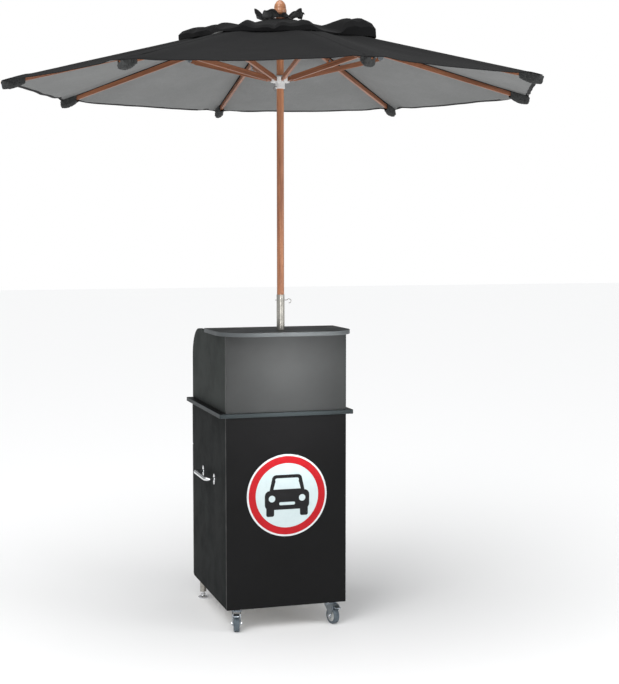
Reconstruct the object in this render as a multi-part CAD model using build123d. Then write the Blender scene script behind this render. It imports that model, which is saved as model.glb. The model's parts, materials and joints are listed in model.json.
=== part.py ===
from build123d import *
import math
import os

# A valet podium on two castors and two levelling feet, with a folding parasol in it.
# Millimetres. The origin is on the floor under the parasol pole; +Z is up, -Y is the
# front with the round sign, +Y the rear with the drawer and the door.

# ---------------------------------------------------------------- driving dimensions
BOARD = 15.0  # laminated board
CABINET_WIDTH = 450.0
CABINET_DEPTH = 550.0
POLE_SETBACK = 80.0  # from the front face to the pole
GROUND_CLEARANCE = 85.0
CABINET_HEIGHT = 990.0  # from the sides' lower edge to the underside of the top board
WORKTOP_HEIGHT = 698.0  # from the sides' lower edge to the worktop's underside
LEDGE = 25.0  # the worktop and the top board stand out this far at the sides
WORKTOP_NOSE = 12.0
TOP_BOARD_NOSE = 67.0
TOP_BOARD_DEPTH = 302.0
TOP_BOARD_RADIUS = 120.0
CHEEK_RADIUS = 115.0  # rear top corner of the upper sides
EDGE_BREAK = 0.8
SHELF_TOP = 390.0
SHELF_SETBACK = 40.0

FRONT_GAP = 2.0  # between the cabinet's rear edges and the drawer and door fronts
REVEAL = 1.5  # the fronts are this much narrower than the cabinet at each side
DRAWER_FRONT_LOW = 612.0
DRAWER_FRONT_TOP = 780.0
DOOR_LOW = 88.0
DOOR_TOP = 609.0

SIGN_RADIUS = 150.0
SIGN_HEIGHT = 494.0
SIGN_THICKNESS = 2.0

POLE_RADIUS = 13.0
TUBE_RADIUS = 14.5
TUBE_BORE = 13.3
TUBE_TOP = 1217.0
POLE_HOLE = 15.0  # radius of the holes the tube stands in

RIB_COUNT = 8
RIB_SLOPE = 14.3  # degrees below level when open
RIB_PIVOT_R = 45.0
RIB_PIVOT_Z = 2180.0
RIB_LENGTH = 962.0
RIB_WIDTH = 10.0
RIB_DEPTH = 20.0
STRUT_AT = 350.0  # along the rib from its pivot
STRUT_DROP = 20.0  # the strut's pin is this far below the rib's middle line
STRUT_WIDTH = 10.0
STRUT_DEPTH = 18.0
TONGUE_WIDTH = 7.0
RUNNER_PIVOT_R = 30.0
RUNNER_PIVOT_Z = 1988.0
CANOPY_RADIUS = 980.0
CLOTH = 2.0
VENT_RADIUS = 370.0
CROWN_RADIUS = 90.0

CASTOR_X = 178.0
CASTOR_Y = -36.0
CASTOR_TRAIL = 20.0
CASTOR_HEADING = {"left": -105.0, "right": -75.0}  # where each wheel trails, degrees from +X
WHEEL_RADIUS = 30.0
WHEEL_WIDTH = 22.0
FOOT_X = 195.0
FOOT_Y = 440.0

LOCK_X = -31.0  # drawer lock
LOCK_Z = 756.0
DOOR_LOCK_X = 179.0
DOOR_LOCK_Z = 353.0
HINGE_HEIGHTS = (140.0, 557.0)

RUNNING_CLEARANCE = 0.06  # radial, for a shaft that turns in a hole

# ---------------------------------------------------------------- worked-out planes
HALF_WIDTH = CABINET_WIDTH / 2
INNER_HALF = HALF_WIDTH - BOARD
FRONT_Y = -POLE_SETBACK
INNER_FRONT_Y = FRONT_Y + BOARD
REAR_Y = FRONT_Y + CABINET_DEPTH
LOW_Z = GROUND_CLEARANCE
WORKTOP_Z = LOW_Z + WORKTOP_HEIGHT
UPPER_Z = WORKTOP_Z + BOARD
TOP_Z = LOW_Z + CABINET_HEIGHT
FLOOR_BOARD_TOP = LOW_Z + BOARD
FRONTS_Y = REAR_Y + FRONT_GAP  # inner face of the drawer and door fronts
FRONTS_OUT_Y = FRONTS_Y + BOARD
FRONTS_HALF = HALF_WIDTH - REVEAL
HINGE_X = -FRONTS_HALF


def span(x, y, z):
    """A box between pairs of limits."""
    size = [high - low for low, high in (x, y, z)]
    middle = [(high + low) / 2 for low, high in (x, y, z)]
    return Pos(*middle) * Box(*size)


def rod(radius, start, end):
    """A round bar from one point to another."""
    start, end = Vector(*start), Vector(*end)
    return Solid.make_cylinder(radius, (end - start).length, Plane(origin=start, z_dir=end - start))


def board(x, y, z):
    """A laminated board with its edges broken."""
    blank = span(x, y, z)
    return chamfer(blank.edges(), EDGE_BREAK)


def slab(points, thickness, plane=Plane.XZ):
    """A flat piece of the given outline, centred on its plane."""
    return extrude(plane * make_face(Polyline(*points, close=True)), thickness / 2, both=True)


def wire_form(points, radii, radius):
    """A bent round wire along straight runs and arcs."""
    path = FilletPolyline(*points, radius=radii)
    return sweep(Plane(origin=path @ 0, z_dir=path % 0) * Circle(radius), path)


def both_sides(piece):
    """A piece and its mirror image across the middle of the cabinet."""
    return [piece, mirror(piece, Plane.YZ)]


def save(node, *pieces):
    """Writes the solids of one node."""
    solids = [solid for piece in pieces for solid in piece.solids()]
    export_step(Compound(solids), f"parts/{node}.step")


def pole_hole(low, high):
    """The hole that the parasol tube passes through."""
    return rod(POLE_HOLE, (0, 0, low), (0, 0, high))


# ---------------------------------------------------------------- cabinet boards
def side_panels():
    low, high = (INNER_FRONT_Y, REAR_Y), (LOW_Z, WORKTOP_Z)
    left = board((-HALF_WIDTH, -INNER_HALF), low, high)
    mortise = span((INNER_HALF - 1, INNER_HALF + 7), (FRONTS_Y - 15.5, FRONTS_Y - 4.5),
                   (DOOR_LOCK_Z - 7.5, DOOR_LOCK_Z + 7.5))
    right = board((INNER_HALF, HALF_WIDTH), low, high) - mortise
    save("side_panel_left", left)
    save("side_panel_right", right)


def front_panels():
    x, y = (-HALF_WIDTH, HALF_WIDTH), (FRONT_Y, INNER_FRONT_Y)
    save("front_panel", board(x, y, (LOW_Z, WORKTOP_Z)))
    save("upper_front", board(x, y, (UPPER_Z, TOP_Z)))


def inner_boards():
    cable_hole = rod(4, (-95, -20, 0), (-95, -20, 500))
    x = (-INNER_HALF, INNER_HALF)
    save("bottom_panel", board(x, (INNER_FRONT_Y, REAR_Y), (LOW_Z, FLOOR_BOARD_TOP)) - cable_hole)
    shelf = board(x, (INNER_FRONT_Y, REAR_Y - SHELF_SETBACK), (SHELF_TOP - BOARD, SHELF_TOP))
    save("shelf", shelf - cable_hole - pole_hole(SHELF_TOP - 20, SHELF_TOP + 5))
    half, height = 55.0, 18.0
    block = span((-half, half), (INNER_FRONT_Y, half - 10), (FLOOR_BOARD_TOP, FLOOR_BOARD_TOP + height))
    block = fillet(block.edges().filter_by(Axis.Z), 8)
    block = chamfer(block.faces().sort_by(Axis.Z)[-1].edges(), 1.5)
    mouth = Pos(0, 0, FLOOR_BOARD_TOP + height - 2.5) * Cone(POLE_HOLE, POLE_HOLE + 5, 5)
    save("socket_block", block - pole_hole(FLOOR_BOARD_TOP - 1, FLOOR_BOARD_TOP + 30) - mouth)


def worktop():
    half = HALF_WIDTH + LEDGE
    top = span((-half, half), (FRONT_Y - WORKTOP_NOSE, REAR_Y), (WORKTOP_Z, UPPER_Z))
    corners = top.edges().filter_by(Axis.Z).sort_by(Axis.Y)[:2]
    top = fillet(corners, 6)
    top = chamfer(top.faces().filter_by(Axis.Z).edges(), EDGE_BREAK)
    mortise = span((LOCK_X - 7, LOCK_X + 7), (REAR_Y - 12, REAR_Y - 2), (WORKTOP_Z - 1, WORKTOP_Z + 9))
    save("worktop", top - pole_hole(WORKTOP_Z - 5, UPPER_Z + 5) - mortise)


def upper_sides():
    cheek = span((INNER_HALF, HALF_WIDTH), (INNER_FRONT_Y, REAR_Y), (UPPER_Z, TOP_Z))
    corner = cheek.edges().filter_by(Axis.X).sort_by(Axis.Y)[-2:].sort_by(Axis.Z)[-1]
    cheek = fillet(corner, CHEEK_RADIUS)
    cheek = chamfer(cheek.faces().filter_by(Axis.X).edges(), EDGE_BREAK)
    save("upper_sides", *both_sides(cheek))


def top_board():
    half, front = HALF_WIDTH + LEDGE, FRONT_Y - TOP_BOARD_NOSE
    top = span((-half, half), (front, front + TOP_BOARD_DEPTH), (TOP_Z, TOP_Z + BOARD))
    top = fillet(top.edges().filter_by(Axis.Z).sort_by(Axis.Y)[:2], TOP_BOARD_RADIUS)
    top = chamfer(top.faces().filter_by(Axis.Z).edges(), EDGE_BREAK)
    save("top_board", top - pole_hole(TOP_Z - 5, TOP_Z + 30))


def sign_disc():
    disc = rod(SIGN_RADIUS, (0, FRONT_Y - SIGN_THICKNESS, SIGN_HEIGHT), (0, FRONT_Y, SIGN_HEIGHT))
    save("sign_disc", disc)


def side_handles():
    height, first, last, reach = 535.0, 100.0, 280.0, 36.0
    points = [(HALF_WIDTH, first), (HALF_WIDTH + reach, first), (HALF_WIDTH + reach, last), (HALF_WIDTH, last)]
    grip = wire_form([(x, y, height) for x, y in points], 16, 7)
    foot = Plane.YZ.offset(HALF_WIDTH) * (Ellipse(13, 21) + Pos(0, -12) * Circle(7))
    feet = [Pos(0, y, height) * extrude(foot, 3.5) for y in (first, last)]
    save("side_handles", *both_sides(grip + feet[0] + feet[1]))


# ---------------------------------------------------------------- castors and feet
def castor_place(side):
    """Where a castor stands: its king pin on the floor, turned to its heading."""
    x = CASTOR_X if side == "right" else -CASTOR_X
    return Pos(x, CASTOR_Y, 0) * Rot(0, 0, CASTOR_HEADING[side])


def leg_mounts():
    plate_half, plate, pin = 29.0, 2.5, 5.0
    pieces = []
    for x in (-CASTOR_X, CASTOR_X):
        top = span((x - plate_half, x + plate_half), (CASTOR_Y - plate_half, CASTOR_Y + plate_half),
                   (LOW_Z - plate, LOW_Z))
        top = fillet(top.edges().filter_by(Axis.Z), 5)
        pieces.append(top + rod(pin, (x, CASTOR_Y, LOW_Z - 12), (x, CASTOR_Y, LOW_Z - plate)))
    for x in (-FOOT_X, FOOT_X):
        flange = rod(13, (x, FOOT_Y, LOW_Z - 3), (x, FOOT_Y, LOW_Z))
        tube = rod(12.5, (x, FOOT_Y, 26), (x, FOOT_Y, LOW_Z - 3))
        pieces.append(flange + tube - rod(6.3, (x, FOOT_Y, 20), (x, FOOT_Y, LOW_Z - 6)))
    save("leg_mounts", *pieces)


def feet():
    outline = Polyline((0, 0), (19, 0), (20, 1.5), (20, 5), (14, 9), (9, 11), (9, 16), (6, 16), (6, 66), (0, 66),
                       close=True)
    foot = revolve(Plane.XZ * make_face(outline), Axis.Z)
    save("foot_left", Pos(-FOOT_X, FOOT_Y, 0) * foot)
    save("foot_right", Pos(FOOT_X, FOOT_Y, 0) * foot)


def castors():
    crown_top, crown_low, axle = 82.2, 70.0, 4.0
    leg = [(-14, 76), (20, 76), (41, 70), (41, 58), (31, 42), (27, 23), (13, 23), (4, 48), (-14, 64)]
    legs = [Pos(0, y, 0) * slab(leg, 2.5) for y in (-13.8, 13.8)]
    crown = rod(20, (0, 0, crown_low), (0, 0, crown_top)) + span((-14, 20), (-15, 15), (crown_low, 76))
    crown = crown - rod(5 + RUNNING_CLEARANCE, (0, 0, 60), (0, 0, 90))
    shaft = rod(axle, (CASTOR_TRAIL, -17.5, WHEEL_RADIUS), (CASTOR_TRAIL, 17.5, WHEEL_RADIUS))
    pedal_pin = rod(2, (37, -15, 65), (37, 15, 65))
    fork = crown + legs[0] + legs[1] + shaft + pedal_pin

    half = WHEEL_WIDTH / 2
    rim = WHEEL_RADIUS - 9
    face = Polyline((axle + RUNNING_CLEARANCE, -half - 1), (9, -half - 1), (11, -half + 3), (rim, -half + 3),
                    (rim, half - 3), (11, half - 3), (9, half + 1), (axle + RUNNING_CLEARANCE, half + 1), close=True)
    tyre = Polyline((rim, -half + 2), (rim + 4, -half), (WHEEL_RADIUS - 2, -half + 1.5), (WHEEL_RADIUS, -half + 6),
                    (WHEEL_RADIUS, half - 6), (WHEEL_RADIUS - 2, half - 1.5), (rim + 4, half), (rim, half - 2),
                    close=True)
    lay = Pos(CASTOR_TRAIL, 0, WHEEL_RADIUS) * Rot(-90, 0, 0)
    turned = [lay * revolve(Plane.XZ * make_face(ring), Axis.Z) for ring in (face, tyre)]

    lever = [(31, 63), (33, 69), (40, 71), (58, 66), (60, 63), (56, 62), (42, 63), (38, 61)]
    pedal = fillet(slab(lever, 20).edges().filter_by(Axis.Y), 0.9) - rod(2.1, (37, -20, 65), (37, 20, 65))
    for side in ("left", "right"):
        place = castor_place(side)
        save(f"castor_fork_{side}", place * fork)
        save(f"castor_wheel_{side}", *[place * ring for ring in turned])
        save(f"brake_pedal_{side}", place * pedal)


# ---------------------------------------------------------------- drawer
BOX_LOW = 640.0
BOX_TOP = 765.0
BOX_OUT = INNER_HALF - 13.0
BOX_WALL = 12.0
BOX_REAR_Y = 90.0
WHEEL_LINE = 629.0  # height of the drawer's own rollers
CHANNEL_FRONT_Y = 466.0


def drawer_front():
    front = board((-FRONTS_HALF, FRONTS_HALF), (FRONTS_Y, FRONTS_OUT_Y), (DRAWER_FRONT_LOW, DRAWER_FRONT_TOP))
    save("drawer_front", front - rod(9.1, (LOCK_X, FRONTS_Y - 5, LOCK_Z), (LOCK_X, FRONTS_OUT_Y + 5, LOCK_Z)))


def drawer_box():
    inner = BOX_OUT - BOX_WALL
    side = span((inner, BOX_OUT), (BOX_REAR_Y, FRONTS_Y), (BOX_LOW, BOX_TOP))
    back = span((-inner, inner), (BOX_REAR_Y, BOX_REAR_Y + BOX_WALL), (BOX_LOW, BOX_TOP))
    base = span((-inner, inner), (BOX_REAR_Y + BOX_WALL, FRONTS_Y), (BOX_LOW + 8, BOX_LOW + 12))
    save("drawer_box", *both_sides(side), back, base)


def drawer_runners():
    sheet, ear_y = 1.2, BOX_REAR_Y + 15
    web = span((BOX_OUT, BOX_OUT + sheet), (BOX_REAR_Y + 2, FRONTS_Y - 2), (BOX_LOW - sheet, BOX_LOW + 12))
    foot = span((BOX_OUT - 11, BOX_OUT + sheet), (BOX_REAR_Y + 2, FRONTS_Y - 2), (BOX_LOW - sheet, BOX_LOW))
    lip = span((BOX_OUT, BOX_OUT + 6.5), (BOX_REAR_Y + 2, FRONTS_Y - 6), (BOX_LOW + 10.8, BOX_LOW + 12))
    ear = span((BOX_OUT, BOX_OUT + sheet), (ear_y - 10, ear_y + 10), (WHEEL_LINE - 7, BOX_LOW))
    axle = rod(3, (BOX_OUT, ear_y, WHEEL_LINE), (BOX_OUT + 8, ear_y, WHEEL_LINE))
    wheel = rod(11.2, (BOX_OUT + 7.7, ear_y, WHEEL_LINE), (BOX_OUT + 11.3, ear_y, WHEEL_LINE))
    save("drawer_runners", *both_sides(web + foot + lip + ear + axle + wheel))


def drawer_channels():
    sheet, low, y = 1.2, 616.0, (BOX_REAR_Y, CHANNEL_FRONT_Y)
    web = span((INNER_HALF - sheet, INNER_HALF), y, (low, low + 44))
    floor = span((INNER_HALF - 6, INNER_HALF), y, (low, low + sheet))
    lip = span((INNER_HALF - 6, INNER_HALF), y, (low + 25, low + 25 + sheet))
    roller_z, roller_y = BOX_LOW + 1.5, CHANNEL_FRONT_Y - 11
    axle = rod(3, (INNER_HALF - 8, roller_y, roller_z), (INNER_HALF, roller_y, roller_z))
    roller = rod(9, (INNER_HALF - 10.8, roller_y, roller_z), (INNER_HALF - 7, roller_y, roller_z))
    save("drawer_channels", *both_sides(web + floor + lip + axle + roller))


def drawer_lock():
    case = span((LOCK_X - 20, LOCK_X + 20), (FRONTS_Y - 16, FRONTS_Y), (LOCK_Z - 26, LOCK_Z + 21))
    case = fillet(case.edges().filter_by(Axis.Y), 4)
    channel = span((LOCK_X - 5.3, LOCK_X + 5.3), (FRONTS_Y - 12.3, FRONTS_Y - 5.7), (LOCK_Z - 2, LOCK_Z + 25))
    barrel = rod(9, (LOCK_X, FRONTS_Y - 1, LOCK_Z), (LOCK_X, FRONTS_OUT_Y, LOCK_Z))
    collar = rod(11.5, (LOCK_X, FRONTS_OUT_Y, LOCK_Z), (LOCK_X, FRONTS_OUT_Y + 4, LOCK_Z))
    collar = fillet(collar.faces().sort_by(Axis.Y)[-1].edges(), 1.5)
    bore = rod(7 + RUNNING_CLEARANCE, (LOCK_X, FRONTS_Y - 2, LOCK_Z), (LOCK_X, FRONTS_OUT_Y + 9, LOCK_Z))
    save("drawer_lock_case", case - channel + barrel + collar - bore)
    bolt = span((LOCK_X - 5, LOCK_X + 5), (FRONTS_Y - 12, FRONTS_Y - 6), (LOCK_Z, LOCK_Z + 22))
    save("drawer_bolt", chamfer(bolt.faces().sort_by(Axis.Z)[-1].edges(), 0.8))


KEY_RING_RADIUS = 11.5
KEY_HOLE_Y = FRONTS_OUT_Y + 27.0


def drawer_key():
    face = FRONTS_OUT_Y + 3.5
    plug = rod(7, (LOCK_X, FRONTS_Y - 1, LOCK_Z), (LOCK_X, face, LOCK_Z))
    bow = Pos(LOCK_X, KEY_HOLE_Y - 6, LOCK_Z) * Rot(0, 90, 0) * extrude(Ellipse(12, 11), 1.6, both=True)
    neck = span((LOCK_X - 1, LOCK_X + 1), (face, face + 9), (LOCK_Z - 4, LOCK_Z + 4)) - bow
    hole = rod(3.5, (LOCK_X - 5, KEY_HOLE_Y, LOCK_Z), (LOCK_X + 5, KEY_HOLE_Y, LOCK_Z))
    ring = Rot(0, 0, 45) * Rot(90, 0, 0) * Torus(KEY_RING_RADIUS, 0.9)
    ring = Pos(LOCK_X, KEY_HOLE_Y, LOCK_Z - KEY_RING_RADIUS) * ring
    save("drawer_key", plug + neck, bow - hole, ring)


def key_tag():
    hole_z = LOCK_Z - 2 * KEY_RING_RADIUS
    outline = [(-6, 5), (6, 5), (16.5, -9), (16.5, -62), (-16.5, -62), (-16.5, -9)]
    tag = fillet(slab(outline, 2.4).edges().filter_by(Axis.Y), 2)
    tag = tag - rod(3.3, (0, -5, 0), (0, 5, 0))
    save("key_tag", Pos(LOCK_X, KEY_HOLE_Y, hole_z) * tag)


# ---------------------------------------------------------------- door
CUP_SETBACK = 22.5  # from the door's hinge edge to the middle of the hinge cup
CUP_RADIUS = 13.0
HOOK_PITCH = 46.0
HOOK_ROWS = 10
HOOK_LOW = 148.0
HOOK_REACH = 21.0


def hinge_arc(inner, outer, first, last, width):
    """A curved strap about the door's hinge line, at level zero; angles in degrees from +X."""
    sector = make_face(
        CenterArc((0, 0), outer, first, last - first)
        + CenterArc((0, 0), inner, first, last - first)
        + [Line(*[(r * math.cos(math.radians(a)), r * math.sin(math.radians(a))) for r in (inner, outer)])
           for a in (first, last)]
    )
    return Pos(HINGE_X, FRONTS_Y, 0) * extrude(sector, width / 2, both=True)


def hinges():
    at = HINGE_X, FRONTS_Y
    plate = span((-INNER_HALF, -INNER_HALF + 3), (at[1] - 76, at[1] - 30), (-22, 22))
    plate = fillet(plate.edges().filter_by(Axis.X), 6)
    arm = span((-INNER_HALF + 3, -INNER_HALF + 14), (at[1] - 76, at[1] - 19.5), (-6, 6))
    fixed = plate + arm + hinge_arc(26, 28.5, -45, 19, 10)
    link = hinge_arc(23, 25.5, -43, 18, 10)
    cup_x = at[0] + CUP_SETBACK
    cup = rod(CUP_RADIUS, (cup_x, at[1], 0), (cup_x, at[1] + 11, 0))
    rim = span((cup_x - 12, cup_x + 12), (at[1] - 1, at[1]), (-28, 28))
    rim = fillet(rim.edges().filter_by(Axis.Y), 7)
    hollow = rod(CUP_RADIUS - 1, (cup_x, at[1] - 5, 0), (cup_x, at[1] + 10, 0))
    root = span((at[0] + 18.8, at[0] + 21.1), (at[1] + 5, at[1] + 10.5), (-5, 5))
    moving = cup + rim - hollow + hinge_arc(20, 22.5, -38, 20, 10) + root
    lift = [Pos(0, 0, height) for height in HINGE_HEIGHTS]
    save("hinge_plates", *[place * fixed for place in lift])
    save("hinge_links", *[place * link for place in lift])
    return [place * moving for place in lift]


def door_panel():
    panel = board((-FRONTS_HALF, FRONTS_HALF), (FRONTS_Y, FRONTS_OUT_Y), (DOOR_LOW, DOOR_TOP))
    cup_x = HINGE_X + CUP_SETBACK
    for height in HINGE_HEIGHTS:
        panel = panel - rod(CUP_RADIUS + 0.1, (cup_x, FRONTS_Y - 1, height), (cup_x, FRONTS_Y + 11.3, height))
    barrel = rod(9.1, (DOOR_LOCK_X, FRONTS_Y - 5, DOOR_LOCK_Z), (DOOR_LOCK_X, FRONTS_OUT_Y + 5, DOOR_LOCK_Z))
    save("door_panel", panel - barrel)


def door_fittings(hinge_cups):
    """The lock's case on the door's inner face, its barrel, and the hinge cups."""
    x, z, y = DOOR_LOCK_X, DOOR_LOCK_Z, FRONTS_Y
    outline = [(-22, 20), (-8, 30), (14, 30), (22, 18), (22, -20), (10, -32), (-6, -32), (-22, -6)]
    case = Pos(x, y - 9, z) * slab(outline, 18)
    case = fillet(case.edges().filter_by(Axis.Y), 4)
    case = fillet(case.faces().sort_by(Axis.Y)[0].edges(), 2)
    barrel = rod(9, (x, y - 1, z), (x, FRONTS_OUT_Y, z))
    collar = rod(11.5, (x, FRONTS_OUT_Y, z), (x, FRONTS_OUT_Y + 3, z))
    bore = rod(7 + RUNNING_CLEARANCE, (x, y + 1, z), (x, FRONTS_OUT_Y + 9, z))
    channel = span((x - 2, x + 30), (y - 13.3, y - 6.7), (z - 5.3, z + 5.3))
    save("door_fittings", case + barrel + collar - bore - channel, *hinge_cups)
    slot = span((x - 0.8, x + 0.8), (FRONTS_OUT_Y - 2, FRONTS_OUT_Y + 9), (z - 4.5, z + 4.5))
    save("door_lock_plug", rod(7, (x, y + 2, z), (x, FRONTS_OUT_Y + 2.5, z)) - slot)
    bolt = span((x, x + 23), (y - 13, y - 7), (z - 5, z + 5))
    save("door_bolt", chamfer(bolt.faces().sort_by(Axis.X)[-1].edges(), 0.8))


def cup_hooks():
    points = [(0, 0, 0), (0, -10, 0), (0, -10, -10), (0, -HOOK_REACH, -10), (0, -HOOK_REACH, 0)]
    hook = wire_form(points, 4.6, 1.3)
    hook = hook + rod(4, (0, 0, 0), (0, -1.5, 0))
    hooks = []
    for row in range(HOOK_ROWS):
        count = 8 - row % 2
        for column in range(count):
            x = (column - (count - 1) / 2) * HOOK_PITCH
            z = HOOK_LOW + row * HOOK_PITCH
            by_lock = abs(x - DOOR_LOCK_X) < 34 and abs(z - DOOR_LOCK_Z) < 38
            if not by_lock:
                hooks.append(Pos(x, FRONTS_Y, z) * hook)
    save("cup_hooks", *hooks)


# ---------------------------------------------------------------- parasol
PIN_Z = TUBE_TOP - 20.0
PIN_RADIUS = 1.15
POLE_TOP = 2190.0
STRUT_CLEAR = 0.4
DOWEL_RADIUS = 5.0  # the finial's dowel in the hub
SNUG = 0.04  # radial, for glued wood joints


def rib_line(radius):
    """Height of the ribs' upper edge at a distance from the pole, when open."""
    slope = math.radians(RIB_SLOPE)
    return RIB_PIVOT_Z + RIB_DEPTH / 2 / math.cos(slope) - (radius - RIB_PIVOT_R) * math.tan(slope)


def strut_pin():
    """Distance from the pole and height of a strut's pin at the rib, when open."""
    a = math.radians(RIB_SLOPE)
    r = RIB_PIVOT_R + STRUT_AT * math.cos(a) - STRUT_DROP * math.sin(a)
    return r, RIB_PIVOT_Z - STRUT_AT * math.sin(a) - STRUT_DROP * math.cos(a)


def mast():
    pin_hole = rod(PIN_RADIUS + 0.1, (-40, 0, PIN_Z), (40, 0, PIN_Z))
    tube = rod(TUBE_RADIUS, (0, 0, FLOOR_BOARD_TOP + 0.3), (0, 0, TUBE_TOP))
    tube = tube - rod(TUBE_BORE, (0, 0, FLOOR_BOARD_TOP - 1), (0, 0, TUBE_TOP + 1)) - pin_hole
    save("mast_tube", tube)
    save("pole", rod(POLE_RADIUS, (0, 0, 1060), (0, 0, POLE_TOP)) - pin_hole)
    points = [(-20, 0), (23, 0), (31, 5), (40, 0), (38, -10), (31, -11)]
    pin = wire_form([(x, 0, PIN_Z + z) for x, z in points], 2.5, PIN_RADIUS)
    save("retaining_pin", pin)


def hub():
    outer, low, top = 54.0, 2160.0, 2186.0
    body = rod(outer, (0, 0, low), (0, 0, top)) + rod(16, (0, 0, top), (0, 0, top + 21))
    body = chamfer(body.faces().filter_by(Axis.Z).sort_by(Axis.Z)[0].edges(), 3)
    body = body - rod(POLE_RADIUS + SNUG, (0, 0, low - 5), (0, 0, POLE_TOP + SNUG))
    body = body - rod(DOWEL_RADIUS + SNUG, (0, 0, low), (0, 0, top + 25))
    for turn in range(RIB_COUNT):
        place = Rot(0, 0, turn * 360 / RIB_COUNT)
        slot = span((RIB_PIVOT_R - 11, outer + 5), (-RIB_WIDTH / 2 - 0.5, RIB_WIDTH / 2 + 0.5), (low - 5, top + 5))
        body = body - place * slot
    for turn in range(RIB_COUNT):
        pin = rod(1.5, (RIB_PIVOT_R, -8, RIB_PIVOT_Z), (RIB_PIVOT_R, 8, RIB_PIVOT_Z))
        body = body + Rot(0, 0, turn * 360 / RIB_COUNT) * pin
    save("hub", body)


def finial():
    base = 2217.0
    outline = [(0, base - 20), (DOWEL_RADIUS, base - 20), (DOWEL_RADIUS, base), (17, base), (23, base + 6), (23.5, base + 15),
               (22, base + 22), (20.5, base + 24), (21.5, base + 26), (20, base + 35), (14, base + 45),
               (6, base + 51.5), (0, base + 53)]
    dome = Spline([outline[9], outline[10], outline[11], outline[12]])
    edge = Polyline(*outline[:10])
    close = Line(outline[12], outline[0])
    save("finial", revolve(Plane.XZ * make_face(edge + dome + close), Axis.Z))


def ribs():
    end = RIB_LENGTH
    half = RIB_DEPTH / 2
    outline = [(0, half), (end, half), (end, -half + 5), (60, -half), (0, -half)]
    bar = slab(outline, RIB_WIDTH) + rod(half, (0, -RIB_WIDTH / 2, 0), (0, RIB_WIDTH / 2, 0))
    bar = bar - rod(1.5 + RUNNING_CLEARANCE, (0, -20, 0), (0, 20, 0))
    cheek = [(STRUT_AT - 14, 2), (STRUT_AT + 14, 2), (STRUT_AT + 8, -STRUT_DROP - 5), (STRUT_AT - 8, -STRUT_DROP - 5)]
    side = RIB_WIDTH / 2 + 0.75
    bracket = [Pos(0, y, 0) * slab(cheek, 1.5) for y in (-side, side)]
    pin = rod(2, (STRUT_AT, -side, -STRUT_DROP), (STRUT_AT, side, -STRUT_DROP))
    stand = Pos(RIB_PIVOT_R, 0, RIB_PIVOT_Z) * Rot(0, RIB_SLOPE, 0)
    for number in range(RIB_COUNT):
        place = Rot(0, 0, number * 360 / RIB_COUNT) * stand
        save(f"rib_{number + 1}", place * bar, place * (bracket[0] + bracket[1] + pin))


def struts():
    pin_r, pin_z = strut_pin()
    rise, run = pin_z - RUNNER_PIVOT_Z, pin_r - RUNNER_PIVOT_R
    length, tilt = math.hypot(rise, run), math.degrees(math.atan2(rise, run))
    half, tongue, root = STRUT_DEPTH / 2, 6.5, 21.0
    blade = slab([(0, tongue), (length, tongue), (length, -tongue), (0, -tongue)], TONGUE_WIDTH)
    width = TONGUE_WIDTH / 2
    for u in (0, length):
        blade = blade + rod(tongue, (u, -width, 0), (u, width, 0))
    bar = slab([(root, half), (length - root, half), (length - root, -half), (root, -half)], STRUT_WIDTH)
    strut = bar + blade - rod(2 + RUNNING_CLEARANCE, (0, -20, 0), (0, 20, 0))
    strut = strut + rod(2, (length, -width, 0), (length, width, 0))
    stand = Pos(pin_r, 0, pin_z) * Rot(0, -180 - tilt, 0)
    for number in range(RIB_COUNT):
        save(f"strut_{number + 1}", Rot(0, 0, number * 360 / RIB_COUNT) * stand * strut)


def runner():
    bore, collar = POLE_RADIUS + 0.4, 17.0
    low, crown_low, crown_top, top = (RUNNER_PIVOT_Z + offset for offset in (-32, -10, 9, 15))
    body = rod(collar, (0, 0, low), (0, 0, top)) + rod(34, (0, 0, crown_low), (0, 0, crown_top))
    for turn in range(RIB_COUNT):
        half = STRUT_WIDTH / 2 + STRUT_CLEAR
        slot = span((collar, 40), (-half, half), (crown_low - 5, crown_top + 5))
        body = body - Rot(0, 0, turn * 360 / RIB_COUNT) * slot
    body = body - rod(bore, (0, 0, low - 5), (0, 0, top + 5))
    hook_points = [(-collar + 1, low + 8), (-collar - 7, low + 6), (-collar - 12, low - 2), (-collar - 6, low - 9),
                   (-collar - 1, low - 6)]
    hook = wire_form([(x, 0, z) for x, z in hook_points], 2.5, 1.0)
    save("runner", body, Rot(0, 0, 22.5) * hook - rod(collar, (0, 0, low), (0, 0, top)))


def octagon(radius, height):
    corners = [(radius * math.cos(math.radians(45 * n)), radius * math.sin(math.radians(45 * n)), height)
               for n in range(8)]
    return make_face(Polyline(*corners, close=True))


def cone_of_cloth(inner, outer, lift):
    """An eight-sided tier of cloth, this far above the ribs' upper edges."""
    def tier(up):
        faces = [octagon(r, rib_line(r) + lift + up) for r in (outer, inner)]
        return loft(faces, ruled=True)
    shell = tier(CLOTH) - tier(0)
    low = rib_line(outer) + lift
    below = span((-outer, outer), (-outer, outer), (low - 60, low))
    opening = extrude(octagon(inner, rib_line(inner)), 60, both=True)
    return shell - below - opening


def canopy():
    save("canopy", cone_of_cloth(300, CANOPY_RADIUS, 1.2))
    save("canopy_vent", cone_of_cloth(20, VENT_RADIUS, 11), cone_of_cloth(20.5, CROWN_RADIUS, 17))


def main():
    os.makedirs("parts", exist_ok=True)
    side_panels()
    front_panels()
    inner_boards()
    worktop()
    upper_sides()
    top_board()
    sign_disc()
    side_handles()
    leg_mounts()
    feet()
    castors()
    drawer_front()
    drawer_box()
    drawer_runners()
    drawer_channels()
    drawer_lock()
    drawer_key()
    key_tag()
    door_panel()
    door_fittings(hinges())
    cup_hooks()
    mast()
    hub()
    finial()
    ribs()
    struts()
    runner()
    canopy()


main()
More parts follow.
